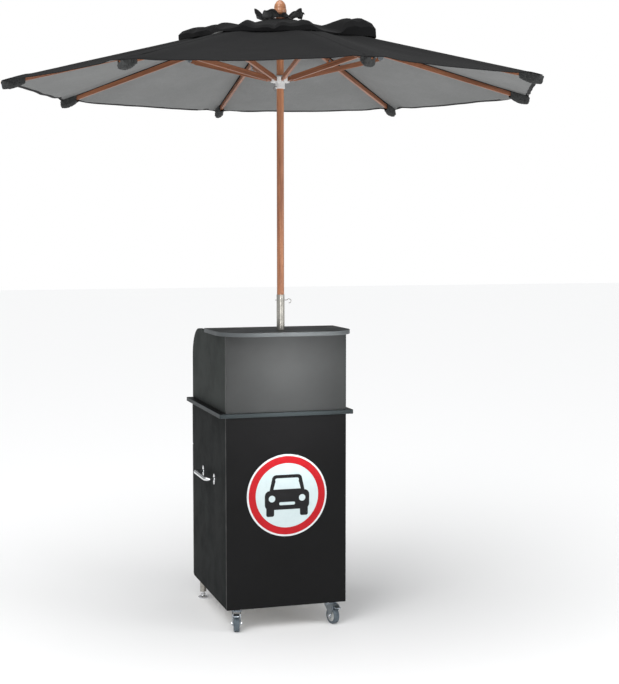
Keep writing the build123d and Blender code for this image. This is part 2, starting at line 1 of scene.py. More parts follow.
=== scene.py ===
"""Looks for a wheeled valet podium with a wooden parasol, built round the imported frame.

Lengths are metres. The cabinet's CAD nodes keep their shapes and get finishes. The
timber, cloth, castor wheels, runner, keys and printed sign are finer pieces built here,
each riding on the body that its CAD node belongs to.
"""

import json
import logging
import math
from collections.abc import Sequence
from dataclasses import dataclass, field
from enum import Enum

import bmesh
import bpy
from mathutils import Euler, Matrix, Vector, noise


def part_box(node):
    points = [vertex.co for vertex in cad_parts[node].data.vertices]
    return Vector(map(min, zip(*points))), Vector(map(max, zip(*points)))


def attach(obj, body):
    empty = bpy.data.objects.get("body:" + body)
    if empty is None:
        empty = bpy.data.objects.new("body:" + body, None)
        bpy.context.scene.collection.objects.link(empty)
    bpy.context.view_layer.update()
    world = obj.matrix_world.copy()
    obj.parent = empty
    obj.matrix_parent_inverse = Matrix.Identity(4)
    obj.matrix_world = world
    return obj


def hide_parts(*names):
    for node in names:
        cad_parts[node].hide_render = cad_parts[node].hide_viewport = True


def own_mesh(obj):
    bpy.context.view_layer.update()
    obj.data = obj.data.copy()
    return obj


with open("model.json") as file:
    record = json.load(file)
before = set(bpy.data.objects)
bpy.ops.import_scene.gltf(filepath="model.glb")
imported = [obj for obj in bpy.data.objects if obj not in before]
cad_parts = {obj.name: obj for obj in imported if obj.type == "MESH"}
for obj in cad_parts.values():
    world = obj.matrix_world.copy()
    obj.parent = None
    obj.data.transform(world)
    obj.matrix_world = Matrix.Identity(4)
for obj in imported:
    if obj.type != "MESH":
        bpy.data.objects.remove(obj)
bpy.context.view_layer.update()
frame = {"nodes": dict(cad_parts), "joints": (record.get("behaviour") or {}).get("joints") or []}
LOG = logging.getLogger("podium")

Color = tuple[float, float, float]
Point2 = tuple[float, float]
MM = 0.001
BLACK: Color = (0.0055, 0.0055, 0.0058)
WHITE: Color = (0.66, 0.645, 0.62)
UP, DOWN = (0.0, 0.0, 1.0), (0.0, 0.0, -1.0)
HINGE_HEIGHTS = (0.140, 0.557)
HANDLE_HEIGHT = 0.535


# ------------------------------------------------------------------ shader wiring
class Wiring:
    """Adds and joins nodes in one shader tree."""

    def __init__(self, tree: bpy.types.NodeTree) -> None:
        """Starts on an emptied tree."""
        self.tree = tree
        tree.nodes.clear()

    def add(self, kind: str, inputs: dict | None = None, **settings: object) -> bpy.types.Node:
        """Adds one node.

        Args:
            kind: the node's type, without its ShaderNode prefix.
            inputs: a value or a socket to link for each input's name or number.
            settings: properties of the node itself.

        Returns:
            The new node.
        """
        node = self.tree.nodes.new(kind if kind.startswith("NodeGroup") else "ShaderNode" + kind)
        for name, value in settings.items():
            setattr(node, name, value)
        for key, value in (inputs or {}).items():
            if isinstance(value, bpy.types.NodeSocket):
                self.link(value, node.inputs[key])
            else:
                node.inputs[key].default_value = value
        return node

    def link(self, value: bpy.types.NodeSocket, target: bpy.types.NodeSocket) -> None:
        """Joins an output to an input."""
        self.tree.links.new(value, target)

    def group(self, tree: bpy.types.NodeTree, **inputs: object) -> bpy.types.NodeOutputs:
        """Adds a shared node group and returns its outputs."""
        return self.add("Group", inputs, node_tree=tree).outputs

    def math(self, operation: str, *values: object) -> bpy.types.NodeSocket:
        """Returns the result of one Math node on the given values or sockets."""
        return self.add("Math", dict(enumerate(values)), operation=operation).outputs[0]

    def spread(self, value: bpy.types.NodeSocket, low: float, high: float,
               to_low: float = 0.0, to_high: float = 1.0) -> bpy.types.NodeSocket:
        """Returns a value mapped from one range to another, clamped."""
        inputs = {0: value, 1: low, 2: high, 3: to_low, 4: to_high}
        return self.add("MapRange", inputs).outputs[0]

    def between(self, factor: bpy.types.NodeSocket, low: float, high: float) -> bpy.types.NodeSocket:
        """Returns a value that goes from low to high as the factor goes from 0 to 1."""
        return self.spread(factor, 0.0, 1.0, low, high)

    def blend(self, factor: object, first: object, second: object) -> bpy.types.NodeSocket:
        """Returns a mix of two colours."""
        colors = [(*c, 1.0) if isinstance(c, tuple) and len(c) == 3 else c for c in (first, second)]
        return self.add("Mix", {0: factor, 6: colors[0], 7: colors[1]}, data_type="RGBA").outputs[2]

    def noise(self, vector: bpy.types.NodeSocket, scale: object, detail: float = 2.0,
              roughness: float = 0.5) -> bpy.types.NodeSocket:
        """Returns the factor of a noise texture."""
        inputs = {"Vector": vector, "Scale": scale, "Detail": detail, "Roughness": roughness}
        return self.add("TexNoise", inputs).outputs[0]

    def stretched(self, vector: bpy.types.NodeSocket, scale: Sequence[float]) -> bpy.types.NodeSocket:
        """Returns a vector scaled unevenly."""
        return self.add("VectorMath", {0: vector, 1: tuple(scale)}, operation="MULTIPLY").outputs[0]


class Effects:
    """Node groups that several finishes share, each built once."""

    def __init__(self) -> None:
        """Builds every group."""
        self.pebble = self._pebble()
        self.grain = self._grain()
        self.weave = self._weave()
        self.smudge = self._smudge()
        self.brushing = self._brushing()

    @staticmethod
    def _group(name: str, inputs: dict[str, tuple[str, object]], outputs: dict[str, str]) -> tuple:
        """Starts a node group.

        Args:
            name: the group's name.
            inputs: each input's socket type and default, or None.
            outputs: each output's socket type.

        Returns:
            The tree, its wiring, the input node's sockets and the output node.
        """
        tree = bpy.data.node_groups.new(name, "ShaderNodeTree")
        wiring = Wiring(tree)
        for label, (kind, default) in inputs.items():
            socket = tree.interface.new_socket(label, in_out="INPUT", socket_type="NodeSocket" + kind)
            if default is not None:
                socket.default_value = default
        for label, kind in outputs.items():
            tree.interface.new_socket(label, in_out="OUTPUT", socket_type="NodeSocket" + kind)
        return tree, wiring, wiring.add("NodeGroupInput").outputs, wiring.add("NodeGroupOutput")

    def _pebble(self) -> bpy.types.NodeTree:
        """Fine pressed grain of melamine, and a soft cloudiness."""
        tree, wiring, given, out = self._group(
            "melamine_pebble", {"Vector": ("Vector", None), "Scale": ("Float", 700.0)},
            {"Height": "Float", "Cloud": "Float"})
        wiring.link(wiring.noise(given["Vector"], given["Scale"], 1.0), out.inputs["Height"])
        cloud = wiring.spread(wiring.noise(given["Vector"], 5.0, 4.0, 0.6), 0.3, 0.7)
        wiring.link(cloud, out.inputs["Cloud"])
        return tree

    def _grain(self) -> bpy.types.NodeTree:
        """Hardwood figure running along the vector's X."""
        tree, wiring, given, out = self._group(
            "hardwood_grain",
            {"Vector": ("Vector", None), "Dark": ("Color", None), "Light": ("Color", None)},
            {"Color": "Color", "Height": "Float"})
        vector = given["Vector"]
        broad = wiring.noise(wiring.stretched(vector, (3.0, 45.0, 45.0)), 1.0, 3.0, 0.55)
        streak = wiring.noise(wiring.stretched(vector, (7.0, 260.0, 260.0)), 1.0, 4.0, 0.6)
        pore = wiring.noise(wiring.stretched(vector, (60.0, 1500.0, 1500.0)), 1.0, 1.0)
        tone = wiring.math("MULTIPLY_ADD", broad, 0.55, wiring.math("MULTIPLY", streak, 0.45))
        body = wiring.blend(wiring.spread(tone, 0.36, 0.64), given["Dark"], given["Light"])
        pores = wiring.spread(pore, 0.60, 0.72, 0.0, 0.55)
        wiring.link(wiring.blend(pores, body, given["Dark"]), out.inputs["Color"])
        height = wiring.math("SUBTRACT", streak, pores)
        wiring.link(height, out.inputs["Height"])
        return tree

    def _weave(self) -> bpy.types.NodeTree:
        """Plain weave of threads along X and Y, with slubs."""
        tree, wiring, given, out = self._group(
            "plain_weave", {"Vector": ("Vector", None), "Pitch": ("Float", 0.0016)},
            {"Height": "Float", "Slub": "Float"})
        axes = wiring.add("SeparateXYZ", {0: given["Vector"]}).outputs
        turns = wiring.math("DIVIDE", math.tau, given["Pitch"])
        waves = [wiring.math("SINE", wiring.math("MULTIPLY", axes[n], turns)) for n in (0, 1)]
        weave = wiring.math("MULTIPLY", waves[0], waves[1])
        wiring.link(wiring.math("MULTIPLY_ADD", weave, 0.5, 0.5), out.inputs["Height"])
        warp = wiring.noise(wiring.stretched(given["Vector"], (30.0, 900.0, 30.0)), 1.0, 2.0)
        weft = wiring.noise(wiring.stretched(given["Vector"], (900.0, 30.0, 30.0)), 1.0, 2.0)
        slub = wiring.spread(wiring.math("ADD", warp, weft), 0.75, 1.25)
        wiring.link(slub, out.inputs["Slub"])
        return tree

    def _smudge(self) -> bpy.types.NodeTree:
        """Blotches left by hands and dust."""
        tree, wiring, given, out = self._group(
            "handling_smudge", {"Vector": ("Vector", None), "Scale": ("Float", 9.0)},
            {"Mask": "Float"})
        blotch = wiring.noise(given["Vector"], given["Scale"], 6.0, 0.65)
        wiring.link(wiring.spread(blotch, 0.42, 0.68), out.inputs["Mask"])
        return tree

    def _brushing(self) -> bpy.types.NodeTree:
        """Fine polishing lines round an upright part."""
        tree, wiring, given, out = self._group(
            "polishing_lines", {"Vector": ("Vector", None)}, {"Mask": "Float"})
        lines = wiring.noise(wiring.stretched(given["Vector"], (30.0, 30.0, 2600.0)), 1.0, 2.0)
        wiring.link(wiring.spread(lines, 0.3, 0.7), out.inputs["Mask"])
        return tree


# ------------------------------------------------------------------ finishes
class Finish:
    """Common base: makes a material once and keeps it."""

    name: str
    _made: dict[str, bpy.types.Material] = {}

    def material(self, effects: Effects) -> bpy.types.Material:
        """Returns this finish's material, built at its first use."""
        if self.name not in Finish._made:
            made = bpy.data.materials.new(self.name)
            made.use_nodes = True
            wiring = Wiring(made.node_tree)
            shader = wiring.add("BsdfPrincipled")
            output = wiring.add("OutputMaterial")
            wiring.link(shader.outputs[0], output.inputs[0])
            self.wire(wiring, shader, wiring.add("TexCoord").outputs["Object"], effects)
            Finish._made[self.name] = made
        return Finish._made[self.name]

    def wire(self, wiring: Wiring, shader: bpy.types.Node, place: bpy.types.NodeSocket,
             effects: Effects) -> None:
        """Fills in the shader; each finish has its own."""
        raise NotImplementedError


def settle(shader: bpy.types.Node, **values: object) -> None:
    """Sets constants on a shader's own sockets, with _ for a space in a name."""
    for name, value in values.items():
        shader.inputs[name.replace("_", " ")].default_value = value


def emboss(wiring: Wiring, shader: bpy.types.Node, height: bpy.types.NodeSocket, strength: float,
           distance: float) -> None:
    """Feeds a height through a Bump node to the shader's normal."""
    bump = wiring.add("Bump", {"Strength": strength, "Distance": distance, "Height": height})
    wiring.link(bump.outputs[0], shader.inputs["Normal"])


@dataclass(frozen=True)
class Laminate(Finish):
    """Melamine-faced board: one colour for its edge band, others for named faces."""

    name: str
    edge: Color = BLACK
    faces: tuple[tuple[Sequence[float], Color], ...] = ()
    roughness: float = 0.48
    specular: float = 0.12

    def wire(self, wiring: Wiring, shader: bpy.types.Node, place: bpy.types.NodeSocket,
             effects: Effects) -> None:
        """Colours each face by its direction and presses the grain in."""
        normal = wiring.add("TexCoord").outputs["Normal"]
        color: object = (*self.edge, 1.0)
        for direction, paint in self.faces:
            dot = wiring.add("VectorMath", {0: normal, 1: tuple(direction)}, operation="DOT_PRODUCT")
            looks_there = wiring.math("GREATER_THAN", dot.outputs["Value"], 0.9)
            color = wiring.blend(looks_there, color, paint)
        pebble = wiring.group(effects.pebble, Vector=place)
        smudge = wiring.group(effects.smudge, Vector=place)
        lift = wiring.between(pebble["Cloud"], 0.88, 1.14)
        clouded = wiring.add("HueSaturation", {"Color": color, "Value": lift}).outputs[0]
        wiring.link(clouded, shader.inputs["Base Color"])
        rough = wiring.between(smudge["Mask"], self.roughness - 0.05, self.roughness + 0.06)
        wiring.link(rough, shader.inputs["Roughness"])
        settle(shader, Specular_IOR_Level=self.specular)
        emboss(wiring, shader, pebble["Height"], 0.25, 0.0004)


@dataclass(frozen=True)
class Metal(Finish):
    """A bare or plated metal."""

    name: str
    color: Color
    dull: Color
    roughness: float
    lines: float = 0.0

    def wire(self, wiring: Wiring, shader: bpy.types.Node, place: bpy.types.NodeSocket,
             effects: Effects) -> None:
        """Tarnish by blotches, and polishing lines where there are any."""
        smudge = wiring.group(effects.smudge, Vector=place, Scale=60.0)
        lines = wiring.group(effects.brushing, Vector=place)
        tarnish = wiring.blend(smudge["Mask"], self.color, self.dull)
        wiring.link(tarnish, shader.inputs["Base Color"])
        base = wiring.between(smudge["Mask"], self.roughness, self.roughness + 0.12)
        rough = wiring.math("MULTIPLY_ADD", lines["Mask"], self.lines, base)
        wiring.link(rough, shader.inputs["Roughness"])
        settle(shader, Metallic=1.0)
        emboss(wiring, shader, lines["Mask"], 0.05 + 0.2 * self.lines, 0.0002)


@dataclass(frozen=True)
class Moulded(Finish):
    """Moulded plastic, rubber or paint: a plain body with mould texture and handling marks."""

    name: str
    color: Color
    shade: Color
    roughness: float
    texture: float = 0.15
    coat: float = 0.0

    def wire(self, wiring: Wiring, shader: bpy.types.Node, place: bpy.types.NodeSocket,
             effects: Effects) -> None:
        """Clouds the colour and pits the surface."""
        pebble = wiring.group(effects.pebble, Vector=place, Scale=1200.0)
        smudge = wiring.group(effects.smudge, Vector=place, Scale=45.0)
        cloud = wiring.blend(smudge["Mask"], self.color, self.shade)
        wiring.link(cloud, shader.inputs["Base Color"])
        rough = wiring.between(pebble["Cloud"], self.roughness, self.roughness + 0.1)
        wiring.link(rough, shader.inputs["Roughness"])
        settle(shader, Coat_Weight=self.coat, Coat_Roughness=0.12, Specular_IOR_Level=0.3)
        emboss(wiring, shader, pebble["Height"], self.texture, 0.0003)


@dataclass(frozen=True)
class Timber(Finish):
    """Oiled hardwood whose grain runs along the piece."""

    name: str
    dark: Color = (0.13, 0.045, 0.020)
    light: Color = (0.34, 0.130, 0.060)
    turn: tuple[float, float, float] = (0.0, 0.0, 0.0)
    shift: float = 0.0
    roughness: float = 0.42
    coat: float = 0.25

    def wire(self, wiring: Wiring, shader: bpy.types.Node, place: bpy.types.NodeSocket,
             effects: Effects) -> None:
        """Turns the place into the piece's own axes and lays the grain along X."""
        inputs = {"Vector": place, "Location": (self.shift, self.shift, 0.0), "Rotation": self.turn}
        along = wiring.add("Mapping", inputs, vector_type="TEXTURE").outputs[0]
        dark, light = (*self.dark, 1.0), (*self.light, 1.0)
        grain = wiring.group(effects.grain, Vector=along, Dark=dark, Light=light)
        wiring.link(grain["Color"], shader.inputs["Base Color"])
        rough = wiring.between(grain["Height"], self.roughness + 0.1, self.roughness - 0.05)
        wiring.link(rough, shader.inputs["Roughness"])
        settle(shader, Coat_Weight=self.coat, Coat_Roughness=0.3, Specular_IOR_Level=0.4)
        emboss(wiring, shader, grain["Height"], 0.3, 0.0004)


@dataclass(frozen=True)
class Cloth(Finish):
    """Woven polyester canvas."""

    name: str
    color: Color
    worn: Color
    sheen: float = 0.15

    def wire(self, wiring: Wiring, shader: bpy.types.Node, place: bpy.types.NodeSocket,
             effects: Effects) -> None:
        """Weaves the threads and clouds the dye."""
        weave = wiring.group(effects.weave, Vector=place)
        smudge = wiring.group(effects.smudge, Vector=place, Scale=4.0)
        thread = wiring.math("MULTIPLY", weave["Slub"], 0.5)
        tone = wiring.math("MULTIPLY_ADD", smudge["Mask"], 0.35, thread)
        wiring.link(wiring.blend(tone, self.color, self.worn), shader.inputs["Base Color"])
        rough = wiring.between(weave["Slub"], 0.82, 0.94)
        wiring.link(rough, shader.inputs["Roughness"])
        settle(shader, Sheen_Weight=self.sheen, Sheen_Roughness=0.5, Specular_IOR_Level=0.12)
        emboss(wiring, shader, weave["Height"], 0.2, 0.0003)


class Tint(Enum):
    """The finishes that more than one piece uses."""

    CHROME = Metal("chrome", (0.78, 0.79, 0.80), (0.60, 0.61, 0.63), 0.07)
    ZINC = Metal("zinc_plate", (0.42, 0.46, 0.50), (0.26, 0.30, 0.34), 0.32)
    NICKEL = Metal("nickel_plate", (0.50, 0.44, 0.34), (0.34, 0.28, 0.20), 0.24)
    STEEL = Metal("polished_steel", (0.46, 0.44, 0.40), (0.34, 0.33, 0.30), 0.20, 0.12)
    DARK_STEEL = Metal("dark_wire", (0.16, 0.15, 0.15), (0.08, 0.08, 0.08), 0.35)
    BRASS = Metal("brass_plate", (0.36, 0.27, 0.15), (0.20, 0.14, 0.08), 0.25)
    TYRE = Moulded("grey_rubber", (0.105, 0.130, 0.150), (0.070, 0.088, 0.105), 0.55, 0.3)
    WHEEL = Moulded("wheel_plastic", (0.46, 0.47, 0.46), (0.36, 0.37, 0.37), 0.4)
    WHITE_PLASTIC = Moulded("white_plastic", (0.74, 0.74, 0.73), (0.60, 0.60, 0.60), 0.35, coat=0.2)
    BLACK_PLASTIC = Moulded("black_plastic", (0.012, 0.013, 0.018), (0.03, 0.033, 0.04), 0.2, coat=0.5)
    TAG = Moulded("tag_plastic", (0.56, 0.575, 0.60), (0.47, 0.48, 0.50), 0.35, coat=0.2)
    PAPER = Moulded("tag_paper", (0.66, 0.66, 0.65), (0.58, 0.58, 0.57), 0.7)
    POWDER = Moulded("white_powder_coat", (0.72, 0.72, 0.71), (0.60, 0.60, 0.60), 0.45)
    SIGN_WHITE = Moulded("sign_white", (0.68, 0.71, 0.72), (0.62, 0.66, 0.68), 0.50, 0.05)
    SIGN_FIELD = Moulded("sign_field", (0.56, 0.655, 0.665), (0.53, 0.625, 0.64), 0.60, 0.05)
    SIGN_RED = Moulded("sign_red", (0.46, 0.004, 0.010), (0.40, 0.003, 0.008), 0.60, 0.05)
    SIGN_BLACK = Moulded("sign_black", (0.004, 0.004, 0.005), (0.007, 0.007, 0.008), 0.60, 0.05)
    CLOTH_TOP = Cloth("black_canvas", (0.0075, 0.0075, 0.008), (0.013, 0.013, 0.0135), 0.03)
    CLOTH_UNDER = Cloth("grey_canvas", (0.165, 0.168, 0.167), (0.235, 0.239, 0.237), 0.05)
    CLOTH_TAPE = Cloth("black_binding", (0.007, 0.007, 0.0075), (0.012, 0.012, 0.0125), 0.03)
    CLOTH_POCKET = Cloth("pocket_canvas", (0.030, 0.031, 0.031), (0.062, 0.064, 0.064), 0.08)


CANVAS = (Tint.CLOTH_TOP, Tint.CLOTH_UNDER, Tint.CLOTH_TAPE)
SCREW = (Tint.CHROME, Tint.DARK_STEEL)


class Workshop:
    """Hands out materials and puts finished meshes into the scene."""

    def __init__(self) -> None:
        """Builds the shared effects."""
        self.effects = Effects()

    def material(self, finish: Finish | Tint) -> bpy.types.Material:
        """Returns the material of a finish or of a shared tint."""
        return (finish.value if isinstance(finish, Tint) else finish).material(self.effects)

    def dress(self, finish: Finish | Tint, *nodes: str) -> None:
        """Gives CAD nodes their finish.

        Args:
            finish: what they are made of.
            nodes: their names.
        """
        material = self.material(finish)
        for node in nodes:
            piece = frame["nodes"][node]
            if not piece.material_slots:
                piece.data.materials.append(material)
            for slot in piece.material_slots:
                slot.material = material
        LOG.info("dressed %s with %s", ", ".join(nodes), material.name)

    def piece(self, name: str, shape: "Shape", body: str, slot: str, finishes: Sequence[Finish | Tint],
              replaces: Sequence[str] = (), crease: float = 35.0) -> bpy.types.Object:
        """Turns a shape into a piece that rides on a body.

        Args:
            name: the piece's name.
            shape: its mesh in the making.
            body: the body that it rides on.
            slot: the record's material slot, not used.
            finishes: one for each kind of face.
            replaces: the CAD nodes that it stands for.
            crease: edges sharper than this, in degrees, stay sharp.

        Returns:
            The new object.
        """
        mesh = shape.mesh(name, crease)
        for finish in finishes:
            mesh.materials.append(self.material(finish))
        made = bpy.data.objects.new(name, mesh)
        bpy.context.scene.collection.objects.link(made)
        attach(made, body)
        if replaces:
            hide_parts(*replaces)
        LOG.info("built %s on %s", name, body)
        return made


# ------------------------------------------------------------------ shapes
def inset(outline: Sequence[Point2], amount: float) -> list[Point2]:
    """Moves a closed outline inwards.

    Args:
        outline: its corners, anticlockwise.
        amount: how far.

    Returns:
        The new corners, in the same order.
    """
    moved = []
    for n, corner in enumerate(outline):
        here, before = Vector(corner), Vector(outline[n - 1])
        after = Vector(outline[(n + 1) % len(outline)])
        first, second = (here - before).normalized(), (after - here).normalized()
        sides = Vector((-first.y, first.x)), Vector((-second.y, second.x))
        miter = sides[0] + sides[1]
        miter *= amount / max(miter.length_squared / 2, 0.3)
        moved.append(tuple(here + miter))
    return moved


def mm(*points: Point2) -> list[Point2]:
    """Returns points given in millimetres as metres."""
    return [(x * MM, y * MM) for x, y in points]


def arc(middle: Point2, radius: float, first: float, last: float, steps: int = 8) -> list[Point2]:
    """Returns points along an arc, with angles in degrees."""
    angles = [math.radians(first + (last - first) * n / steps) for n in range(steps + 1)]
    return [(middle[0] + radius * math.cos(a), middle[1] + radius * math.sin(a)) for a in angles]


def rounded(half_x: float, half_y: float, radius: float, steps: int = 5) -> list[Point2]:
    """Returns a rounded rectangle's outline about the origin, anticlockwise."""
    x, y = half_x - radius, half_y - radius
    corners = [((x, -y), -90.0), ((x, y), 0.0), ((-x, y), 90.0), ((-x, -y), 180.0)]
    return [p for middle, start in corners for p in arc(middle, radius, start, start + 90.0, steps)]


class Shape:
    """A mesh in the making, with a finish number for each face."""

    def __init__(self) -> None:
        """Starts empty."""
        self.points: list[Vector] = []
        self.faces: list[list[int]] = []
        self.kinds: list[int] = []

    def patch(self, rows: Sequence[Sequence[Vector]], kind: int = 0, wrap: bool = False) -> None:
        """Adds a grid of four-sided faces.

        Args:
            rows: the grid's points.
            kind: the finish number.
            wrap: whether each row closes on itself.
        """
        start, across = len(self.points), len(rows[0])
        for row in rows:
            self.points.extend(row)
        for i in range(len(rows) - 1):
            for j in range(across if wrap else across - 1):
                k = (j + 1) % across
                low, high = start + i * across, start + (i + 1) * across
                self.faces.append([low + j, low + k, high + k, high + j])
                self.kinds.append(kind)

    def cap(self, ring: Sequence[Vector], kind: int = 0) -> None:
        """Adds one flat face round a ring of points."""
        start = len(self.points)
        self.points.extend(ring)
        self.faces.append(list(range(start, start + len(ring))))
        self.kinds.append(kind)

    def lathe(self, profile: Sequence[Point2], place: Matrix, steps: int = 48, kind: int = 0) -> None:
        """Turns a profile of radius and height pairs about the place's Z.

        Args:
            profile: its points, in order.
            place: where the axis stands.
            steps: how many facets go round.
            kind: the finish number.
        """
        angles = [math.tau * n / steps for n in range(steps)]
        turns = [(math.cos(a), math.sin(a)) for a in angles]
        rings = [[place @ Vector((r * c, r * s, z)) for c, s in turns] for r, z in profile]
        self.patch(rings, kind, True)

    def slab(self, outline: Sequence[Point2], thickness: float, place: Matrix, bevel: float,
             kind: int = 0) -> None:
        """Adds a flat piece with bevelled edges, centred on the place's XY plane.

        Args:
            outline: its corners, anticlockwise.
            thickness: along the place's Z.
            place: where it lies.
            bevel: the width of the broken edge.
            kind: the finish number.
        """
        half, small = thickness / 2, inset(outline, bevel)
        levels = [(small, -half), (outline, bevel - half), (outline, half - bevel), (small, half)]
        rings = [[place @ Vector((x, y, z)) for x, y in ring] for ring, z in levels]
        self.patch(rings, kind, True)
        self.cap(rings[0], kind)
        self.cap(rings[-1], kind)

    def tube(self, path: Sequence[Vector], radius: float, steps: int = 12, kind: int = 0,
             closed: bool = False) -> None:
        """Sweeps a round bar along a path.

        Args:
            path: points close enough together to look smooth.
            radius: of the bar.
            steps: how many facets go round.
            kind: the finish number.
            closed: whether the path joins up.
        """
        count, rings, side = len(path), [], Vector((0.3, 0.5, 0.81))
        for n, point in enumerate(path):
            after = path[(n + 1) % count] if closed else path[min(n + 1, count - 1)]
            ahead = (after - path[n - 1 if closed else max(n - 1, 0)]).normalized()
            side = (side - ahead * side.dot(ahead)).normalized()
            up = ahead.cross(side)
            turns = [math.tau * k / steps for k in range(steps)]
            rings.append([point + (side * math.cos(a) + up * math.sin(a)) * radius for a in turns])
        self.patch(rings + rings[:1] if closed else rings, kind, True)
        if not closed:
            self.cap(rings[0], kind)
            self.cap(rings[-1], kind)

    def cloth(self, rows: Sequence[Sequence[Vector]], thickness: float,
              kinds: tuple[int, int, int]) -> None:
        """Adds a sheet of cloth with two faces and an edge.

        Args:
            rows: the grid of its middle surface, whose normals point to the upper face.
            thickness: between its faces.
            kinds: finish numbers for the upper face, the lower face and the edge.
        """
        layers: tuple[list, list] = ([], [])
        for i, row in enumerate(rows):
            ends = rows[min(i + 1, len(rows) - 1)], rows[max(i - 1, 0)]
            normals = []
            for j in range(len(row)):
                down = ends[0][j] - ends[1][j]
                across = row[min(j + 1, len(row) - 1)] - row[max(j - 1, 0)]
                normals.append(down.cross(across).normalized() * (thickness / 2))
            layers[0].append([p + n for p, n in zip(row, normals)])
            layers[1].append([p - n for p, n in zip(row, normals)])
        for layer, kind in zip(layers, kinds):
            self.patch(layer, kind)
        loops = [g[0] + [row[-1] for row in g[1:]] + g[-1][-2::-1] + [row[0] for row in g[-2:0:-1]]
                 for g in layers]
        self.patch(loops, kinds[2], True)

    def mesh(self, name: str, crease: float) -> bpy.types.Mesh:
        """Makes the mesh.

        Args:
            name: its name.
            crease: edges sharper than this, in degrees, stay sharp.

        Returns:
            The mesh, welded, with outward normals and smooth faces.
        """
        made = bpy.data.meshes.new(name)
        made.from_pydata(self.points, [], self.faces)
        made.polygons.foreach_set("material_index", self.kinds)
        work = bmesh.new()
        work.from_mesh(made)
        bmesh.ops.remove_doubles(work, verts=work.verts, dist=2e-6)
        bmesh.ops.recalc_face_normals(work, faces=work.faces)
        work.to_mesh(made)
        work.free()
        made.shade_smooth()
        made.set_sharp_from_angle(angle=math.radians(crease))
        return made


def stand(x: float, y: float, z: float, turn: Sequence[float] = (0.0, 0.0, 0.0)) -> Matrix:
    """Returns a place at a point, turned by angles in degrees about X, Y and Z."""
    return Matrix.Translation((x, y, z)) @ Euler([math.radians(a) for a in turn]).to_matrix().to_4x4()


def spin(angle: float) -> Matrix:
    """Returns a turn about Z by an angle in degrees."""
    return stand(0, 0, 0, (0, 0, angle))


def joint_place(name: str) -> tuple[float, float, float]:
    """Returns where the frame puts a joint."""
    return tuple(next(j for j in frame["joints"] if j["name"] == name)["pos_m"])


def facing(point: Vector, direction: Vector) -> Matrix:
    """Returns a place at a point whose Z looks along a direction."""
    return Matrix.Translation(point) @ direction.to_track_quat("Z", "Y").to_matrix().to_4x4()


def add_screw(shape: Shape, point: Vector, direction: Vector, radius: float = 3.2 * MM) -> None:
    """Adds a cross-head screw's visible head.

    Args:
        shape: the shape that gets it, with finish 0 for the head and 1 for the recess.
        point: the head's middle on the surface.
        direction: the surface's outward normal.
        radius: of the head.
    """
    place, rise = facing(point, direction), 0.42 * radius
    dome = [(radius, -0.2 * MM), (radius, 0.15 * rise), (0.86 * radius, 0.6 * rise),
            (0.5 * radius, rise)]
    shape.lathe([(0.0, -0.2 * MM), *dome, (0.0, rise)], place, 20)
    for half_x, half_y in ((0.62, 0.13), (0.13, 0.62)):
        bar = rounded(half_x * radius, half_y * radius, 0.1 * radius, 2)
        shape.slab(bar, 0.3 * MM, place @ Matrix.Translation((0, 0, rise)), 0.04 * MM, 1)


